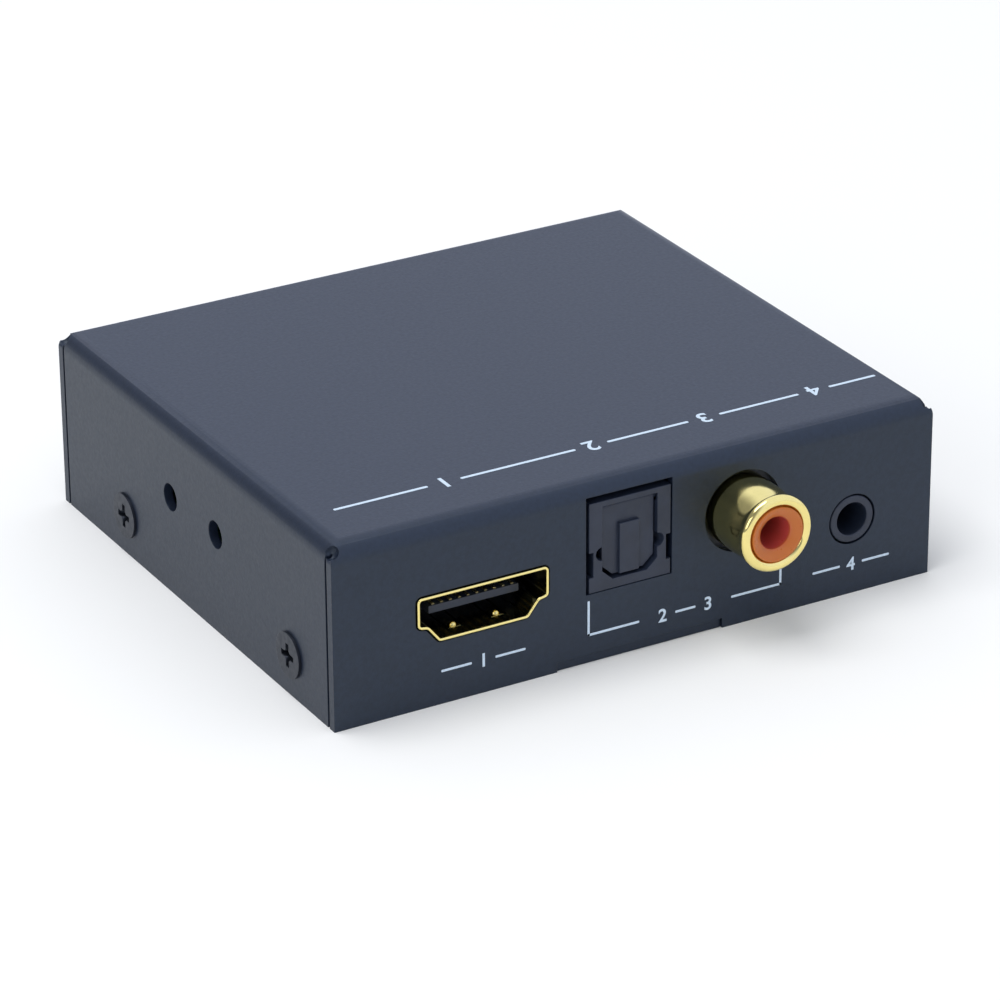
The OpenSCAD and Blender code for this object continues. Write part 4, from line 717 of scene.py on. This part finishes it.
class EXTRACTOR_OT_board(Operator):
    """Finish the circuit board, its parts, the standoffs and the power light"""

    bl_idname = "extractor.board"
    bl_label = "Circuit board"

    def execute(self, context):
        paint(context.scene,
              "board_standoffs", "board_screws", "circuit_board", "power_light", "power_light_leads",
              "video_chip", "video_chip_leads", "controller_chip", "controller_chip_leads",
              "audio_chip", "audio_chip_leads", "memory_chip", "memory_chip_leads",
              "crystal_can", "voltage_regulators", "power_coil", "capacitor_cans", "capacitor_feet",
              "chip_capacitors", "chip_resistors")
        return {"FINISHED"}


class Print:
    """Ink on one wall, in the wall's own right and up, with the wall's face at zero."""

    corner_share = 0.35
    corner_segments = 3
    curve_steps = 6
    stroke_offset = 0.018

    def __init__(self, origin, right, up, settings):
        out = right.cross(up)
        self.place = Matrix.Translation(origin) @ Matrix((right, up, out)).transposed().to_4x4()
        self.height = settings.print_height
        self.bm = bmesh.new()

    def bar(self, x, y, width, height):
        """A printed line with slightly rounded corners, about its middle."""
        corner = min(width, height) * self.corner_share
        made = bmesh.ops.create_cube(self.bm, size=1.0)["verts"]
        bmesh.ops.scale(self.bm, verts=made, vec=(width, height, self.height))
        bmesh.ops.translate(self.bm, verts=made, vec=(x, y, self.height / 2))
        upright = [e for e in {e for v in made for e in v.link_edges}
                   if abs(e.verts[0].co.z - e.verts[1].co.z) > self.height / 2]
        bmesh.ops.bevel(self.bm, geom=upright, offset=corner, offset_type="OFFSET", profile=0.5,
                        segments=self.corner_segments, affect="EDGES", material=-1, clamp_overlap=True)

    def numeral(self, text, x, y, height):
        """A numeral of the given height, about its middle."""
        curve = bpy.data.curves.new("numeral", type="FONT")
        curve.body = text
        curve.align_x = "CENTER"
        curve.size = 1.0
        curve.resolution_u = self.curve_steps
        curve.offset = self.stroke_offset
        curve.extrude = 0.5
        carrier = bpy.data.objects.new("numeral", curve)
        bpy.context.scene.collection.objects.link(carrier)
        bpy.context.view_layer.update()
        graph = bpy.context.evaluated_depsgraph_get()
        mesh = bpy.data.meshes.new_from_object(carrier.evaluated_get(graph))
        tops = [v.co.y for v in mesh.vertices]
        scale = height / (max(tops) - min(tops))
        middle = (max(tops) + min(tops)) / 2
        mesh.transform(Matrix.Translation((x, y, self.height / 2))
                       @ Matrix.Diagonal((scale, scale, self.height, 1.0))
                       @ Matrix.Translation((0.0, -middle, 0.0)))
        self.bm.from_mesh(mesh)
        bpy.data.meshes.remove(mesh)
        bpy.data.objects.remove(carrier)
        bpy.data.curves.remove(curve)

    def finish(self, scene, name):
        """Makes the piece of all that was printed."""
        bmesh.ops.remove_doubles(self.bm, verts=self.bm.verts, dist=0.0001 * MM)
        self.bm.transform(self.place)
        new_piece(scene, name, self.bm, "ink", smooth_angle=30.0)


class EXTRACTOR_OT_printed_marks(Operator):
    """Print plain numerals and lines on the walls and the top"""

    bl_idname = "extractor.printed_marks"
    bl_label = "Printed marks"

    def execute(self, context):
        scene = context.scene
        settings = scene.extractor_marks
        self.front(scene, settings)
        self.back(scene, settings)
        self.top(scene, settings)
        return {"FINISHED"}

    def label(self, ink, text, x, z, width, settings):
        """A numeral between two short bars."""
        size = settings.label_height
        gap = size * 0.9
        length = width / 2 - gap
        ink.numeral(text, x, z, size)
        for side in (-1, 1):
            ink.bar(x + side * (width - length) / 2, z, length, settings.line_width)

    def front(self, scene, settings):
        wall = Print(Vector((0.0, CASE_LOW.y, 0.0)), Vector((1, 0, 0)), Vector((0, 0, 1)), settings)
        line = settings.line_width
        self.label(wall, "1", middle_of("video_out_shell").x, 3.65 * MM, 9.6 * MM, settings)
        self.label(wall, "4", middle_of("stereo_housing").x, 3.4 * MM, 9.4 * MM, settings)
        # The bracket that joins the optical and the coaxial jack, with two numerals in its gap
        bracket_low, bracket_high = 3.27 * MM, 6.94 * MM
        left_arm, right_arm = (-6.1 * MM, -0.3 * MM), (16.7 * MM, 10.9 * MM)
        for x, end in (left_arm, right_arm):
            wall.bar(x, (bracket_low + bracket_high) / 2, line, bracket_high - bracket_low + line)
            wall.bar((x + end) / 2, bracket_low, abs(end - x) + line, line)
        numeral_xs = {"2": 2.6 * MM, "3": 8.0 * MM}
        for text, x in numeral_xs.items():
            wall.numeral(text, x, bracket_low, settings.label_height)
        dash_w = 2.4 * MM
        wall.bar(sum(numeral_xs.values()) / 2, bracket_low, dash_w, line)
        wall.finish(scene, "print_front")

    def back(self, scene, settings):
        wall = Print(Vector((0.0, CASE_HIGH.y, 0.0)), Vector((-1, 0, 0)), Vector((0, 0, 1)), settings)
        self.label(wall, "5", -middle_of("video_in_shell").x, 3.65 * MM, 9.6 * MM, settings)
        self.label(wall, "6", -middle_of("power_pin").x, 3.65 * MM, 7.6 * MM, settings)
        # The scale over the mode switch and the bar under it
        switch_x = -middle_of("switch_frame").x
        stop_spacing = 2.6 * MM
        numeral_z, tick_z, bar_z = 12.6 * MM, 10.8 * MM, 5.4 * MM
        tick_h, bar_w = 0.9 * MM, 7.6 * MM
        for i, text in enumerate("123"):
            x = switch_x + (i - 1) * stop_spacing
            wall.numeral(text, x, numeral_z, settings.label_height)
            wall.bar(x, tick_z, settings.line_width, tick_h)
        wall.bar(switch_x, bar_z, bar_w, settings.line_width)
        wall.finish(scene, "print_back")

    def top(self, scene, settings):
        """A row of numerals over the front sockets, joined by bars and read from behind."""
        face = Print(Vector((0.0, 0.0, CASE_HIGH.z - settings.print_height)),
                     Vector((-1, 0, 0)), Vector((0, -1, 0)), settings)
        row_y = 23.1 * MM
        row_start, row_end = -32.9 * MM, 30.6 * MM
        margin = settings.top_height * 0.85
        thickness = settings.line_width * 1.5
        sockets = ("video_out_shell", "optical_housing", "coax_barrel", "stereo_housing")
        places = [-middle_of(node).x for node in sockets]
        for i, x in enumerate(places):
            face.numeral(str(i + 1), x, row_y, settings.top_height)
        starts = [row_start] + [x + margin for x in reversed(places)]
        ends = [x - margin for x in reversed(places)] + [row_end]
        for start, end in zip(starts, ends):
            if end > start:
                face.bar((start + end) / 2, row_y, end - start, thickness)
        face.finish(scene, "print_top")


class EXTRACTOR_OT_stage(Operator):
    """Set up the camera, the pale floor and the soft studio light"""

    bl_idname = "extractor.stage"
    bl_label = "Stage"

    # The camera's place and its azimuth, elevation and roll in degrees, worked out from the photo's edges
    camera_place = Vector((-231.3, -408.6, 228.2)) * MM
    camera_angles = (-29.65, 25.51, -0.37)
    sensor_width = 36.0
    # Half the floor's side in metres
    floor_reach = 3.0
    sky_colour = (0.93, 0.96, 1.0)
    white = (1.0, 1.0, 1.0)
    # Across the sky's X the dark card ends over this span
    card_span = (-0.45, 0.10)
    # Each lamp's name, place and size in metres, and share of the key power
    lamp_rows = (
        ("overhead", (-0.25, 0.05, 0.85), 0.55, 1.0),
        ("left_fill", (-0.75, -0.45, 0.35), 0.45, 0.35),
    )
    lamp_target = Vector((0.0, 0.0, 0.01))

    def execute(self, context):
        scene = context.scene
        settings = scene.extractor_stage
        self.camera(scene, settings)
        self.floor(scene, settings)
        self.world(scene, settings)
        for name, place, size, share in self.lamp_rows:
            self.lamp(scene, name, Vector(place), size, settings.key_power * share)
        scene.view_settings.view_transform = "Standard"
        return {"FINISHED"}

    def camera(self, scene, settings):
        data = bpy.data.cameras.new("camera")
        data.lens = settings.lens
        data.sensor_width = self.sensor_width
        data.clip_start, data.clip_end = 0.01, 10.0
        camera = bpy.data.objects.new("camera", data)
        azimuth, elevation, roll = (math.radians(a) for a in self.camera_angles)
        back = Vector((math.sin(azimuth) * math.cos(elevation),
                       -math.cos(azimuth) * math.cos(elevation), math.sin(elevation)))
        right = (-back).cross(Vector((0, 0, 1))).normalized()
        up = right.cross(-back)
        right, up = (right * math.cos(roll) + up * math.sin(roll),
                     up * math.cos(roll) - right * math.sin(roll))
        turn = Matrix((right, up, back)).transposed().to_4x4()
        camera.matrix_world = Matrix.Translation(self.camera_place) @ turn
        scene.collection.objects.link(camera)
        scene.camera = camera

    def floor(self, scene, settings):
        bm = bmesh.new()
        bmesh.ops.create_grid(bm, x_segments=2, y_segments=2, size=self.floor_reach)
        mesh = bpy.data.meshes.new("floor")
        bm.to_mesh(mesh)
        bm.free()
        finish = Finish("pale_floor", tuple(settings.floor_colour), roughness=0.7, specular=0.2)
        finish.vary_roughness(20 * MM, 0.65, 0.75)
        mesh.materials.append(finish.material)
        floor = bpy.data.objects.new("floor", mesh)
        scene.collection.objects.link(floor)

    def world(self, scene, settings):
        """A plain sky that lights the scene, and a whiter one that the camera and reflections see."""
        world = bpy.data.worlds.new("studio")
        world.use_nodes = True
        nodes, links = world.node_tree.nodes, world.node_tree.links
        rays = nodes.new("ShaderNodeLightPath").outputs
        plain = nodes["Background"]
        plain.inputs["Color"].default_value = (*self.sky_colour, 1.0)
        plain.inputs["Strength"].default_value = settings.sky_level
        seen = nodes.new("ShaderNodeBackground")
        cool = nodes.new("ShaderNodeMix")
        cool.data_type = "RGBA"
        cool.inputs["A"].default_value = (*self.white, 1.0)
        cool.inputs["B"].default_value = (*settings.reflected_sky, 1.0)
        links.new(rays["Is Glossy Ray"], cool.inputs["Factor"])
        links.new(cool.outputs["Result"], seen.inputs["Color"])
        links.new(self.dark_card(nodes, links, rays, settings), seen.inputs["Strength"])
        share = rays["Is Camera Ray"]
        for kind in ("Is Glossy Ray", "Is Transmission Ray"):
            either = nodes.new("ShaderNodeMath")
            either.operation = "MAXIMUM"
            links.new(share, either.inputs[0])
            links.new(rays[kind], either.inputs[1])
            share = either.outputs[0]
        mix = nodes.new("ShaderNodeMixShader")
        links.new(share, mix.inputs["Fac"])
        links.new(plain.outputs[0], mix.inputs[1])
        links.new(seen.outputs[0], mix.inputs[2])
        links.new(mix.outputs[0], nodes["World Output"].inputs["Surface"])
        scene.world = world

    def dark_card(self, nodes, links, rays, settings):
        """The strength of the sky that is seen, less in reflections from the dark card at the left."""
        split = nodes.new("ShaderNodeSeparateXYZ")
        links.new(nodes.new("ShaderNodeTexCoord").outputs["Generated"], split.inputs[0])
        across = nodes.new("ShaderNodeMapRange")
        across.interpolation_type = "SMOOTHSTEP"
        across.inputs["From Min"].default_value, across.inputs["From Max"].default_value = self.card_span
        across.inputs["To Min"].default_value = settings.card_level
        across.inputs["To Max"].default_value = 1.0
        links.new(split.outputs["X"], across.inputs["Value"])
        strength = nodes.new("ShaderNodeMix")
        strength.inputs["A"].default_value = 1.0
        links.new(rays["Is Glossy Ray"], strength.inputs["Factor"])
        links.new(across.outputs["Result"], strength.inputs["B"])
        return strength.outputs["Result"]

    def lamp(self, scene, name, place, size, power):
        data = bpy.data.lights.new(name, type="AREA")
        data.shape = "SQUARE"
        data.size = size
        data.energy = power
        lamp = bpy.data.objects.new(name, data)
        lamp.location = place
        lamp.rotation_euler = (self.lamp_target - place).to_track_quat("-Z", "Y").to_euler()
        scene.collection.objects.link(lamp)


class EXTRACTOR_PT_panel(Panel):
    """Lists the pieces and their settings"""

    bl_idname = "EXTRACTOR_PT_panel"
    bl_label = "Audio extractor"
    bl_space_type = "VIEW_3D"
    bl_region_type = "UI"
    bl_category = "Extractor"

    def draw(self, context):
        scene = context.scene
        for title, settings, operators in (
                ("Case", scene.extractor_case, ("cover", "cover_screws")),
                ("Sockets", scene.extractor_sockets,
                 ("video_sockets", "optical_jack", "coaxial_jack", "stereo_jack", "power_jack",
                  "mode_switch")),
                ("Board", None, ("board",)),
                ("Print", scene.extractor_marks, ("printed_marks",)),
                ("Stage", scene.extractor_stage, ("stage",))):
            box = self.layout.box()
            box.label(text=title)
            if settings is not None:
                for name in settings.__annotations__:
                    box.prop(settings, name)
            for name in operators:
                box.operator("extractor." + name)


GROUPS = (
    ("extractor_case", CaseSettings),
    ("extractor_sockets", SocketSettings),
    ("extractor_marks", MarkSettings),
    ("extractor_stage", StageSettings),
)
OPERATORS = (
    EXTRACTOR_OT_cover, EXTRACTOR_OT_cover_screws, EXTRACTOR_OT_video_sockets, EXTRACTOR_OT_optical_jack,
    EXTRACTOR_OT_coaxial_jack, EXTRACTOR_OT_stereo_jack, EXTRACTOR_OT_power_jack, EXTRACTOR_OT_mode_switch,
    EXTRACTOR_OT_board, EXTRACTOR_OT_printed_marks, EXTRACTOR_OT_stage,
)


def register():
    for name, group in GROUPS:
        bpy.utils.register_class(group)
        setattr(bpy.types.Scene, name, PointerProperty(type=group))
    for operator in OPERATORS:
        bpy.utils.register_class(operator)
    bpy.utils.register_class(EXTRACTOR_PT_panel)


def unregister():
    bpy.utils.unregister_class(EXTRACTOR_PT_panel)
    for operator in reversed(OPERATORS):
        bpy.utils.unregister_class(operator)
    for name, group in reversed(GROUPS):
        delattr(bpy.types.Scene, name)
        bpy.utils.unregister_class(group)


def main():
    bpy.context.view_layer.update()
    register()
    bpy.ops.extractor.cover()
    bpy.ops.extractor.cover_screws()
    bpy.ops.extractor.video_sockets()
    bpy.ops.extractor.optical_jack()
    bpy.ops.extractor.coaxial_jack()
    bpy.ops.extractor.stereo_jack()
    bpy.ops.extractor.power_jack()
    bpy.ops.extractor.mode_switch()
    bpy.ops.extractor.board()
    bpy.ops.extractor.printed_marks()
    bpy.ops.extractor.stage()
    bpy.context.view_layer.update()


if __name__ == "__main__":
    main()
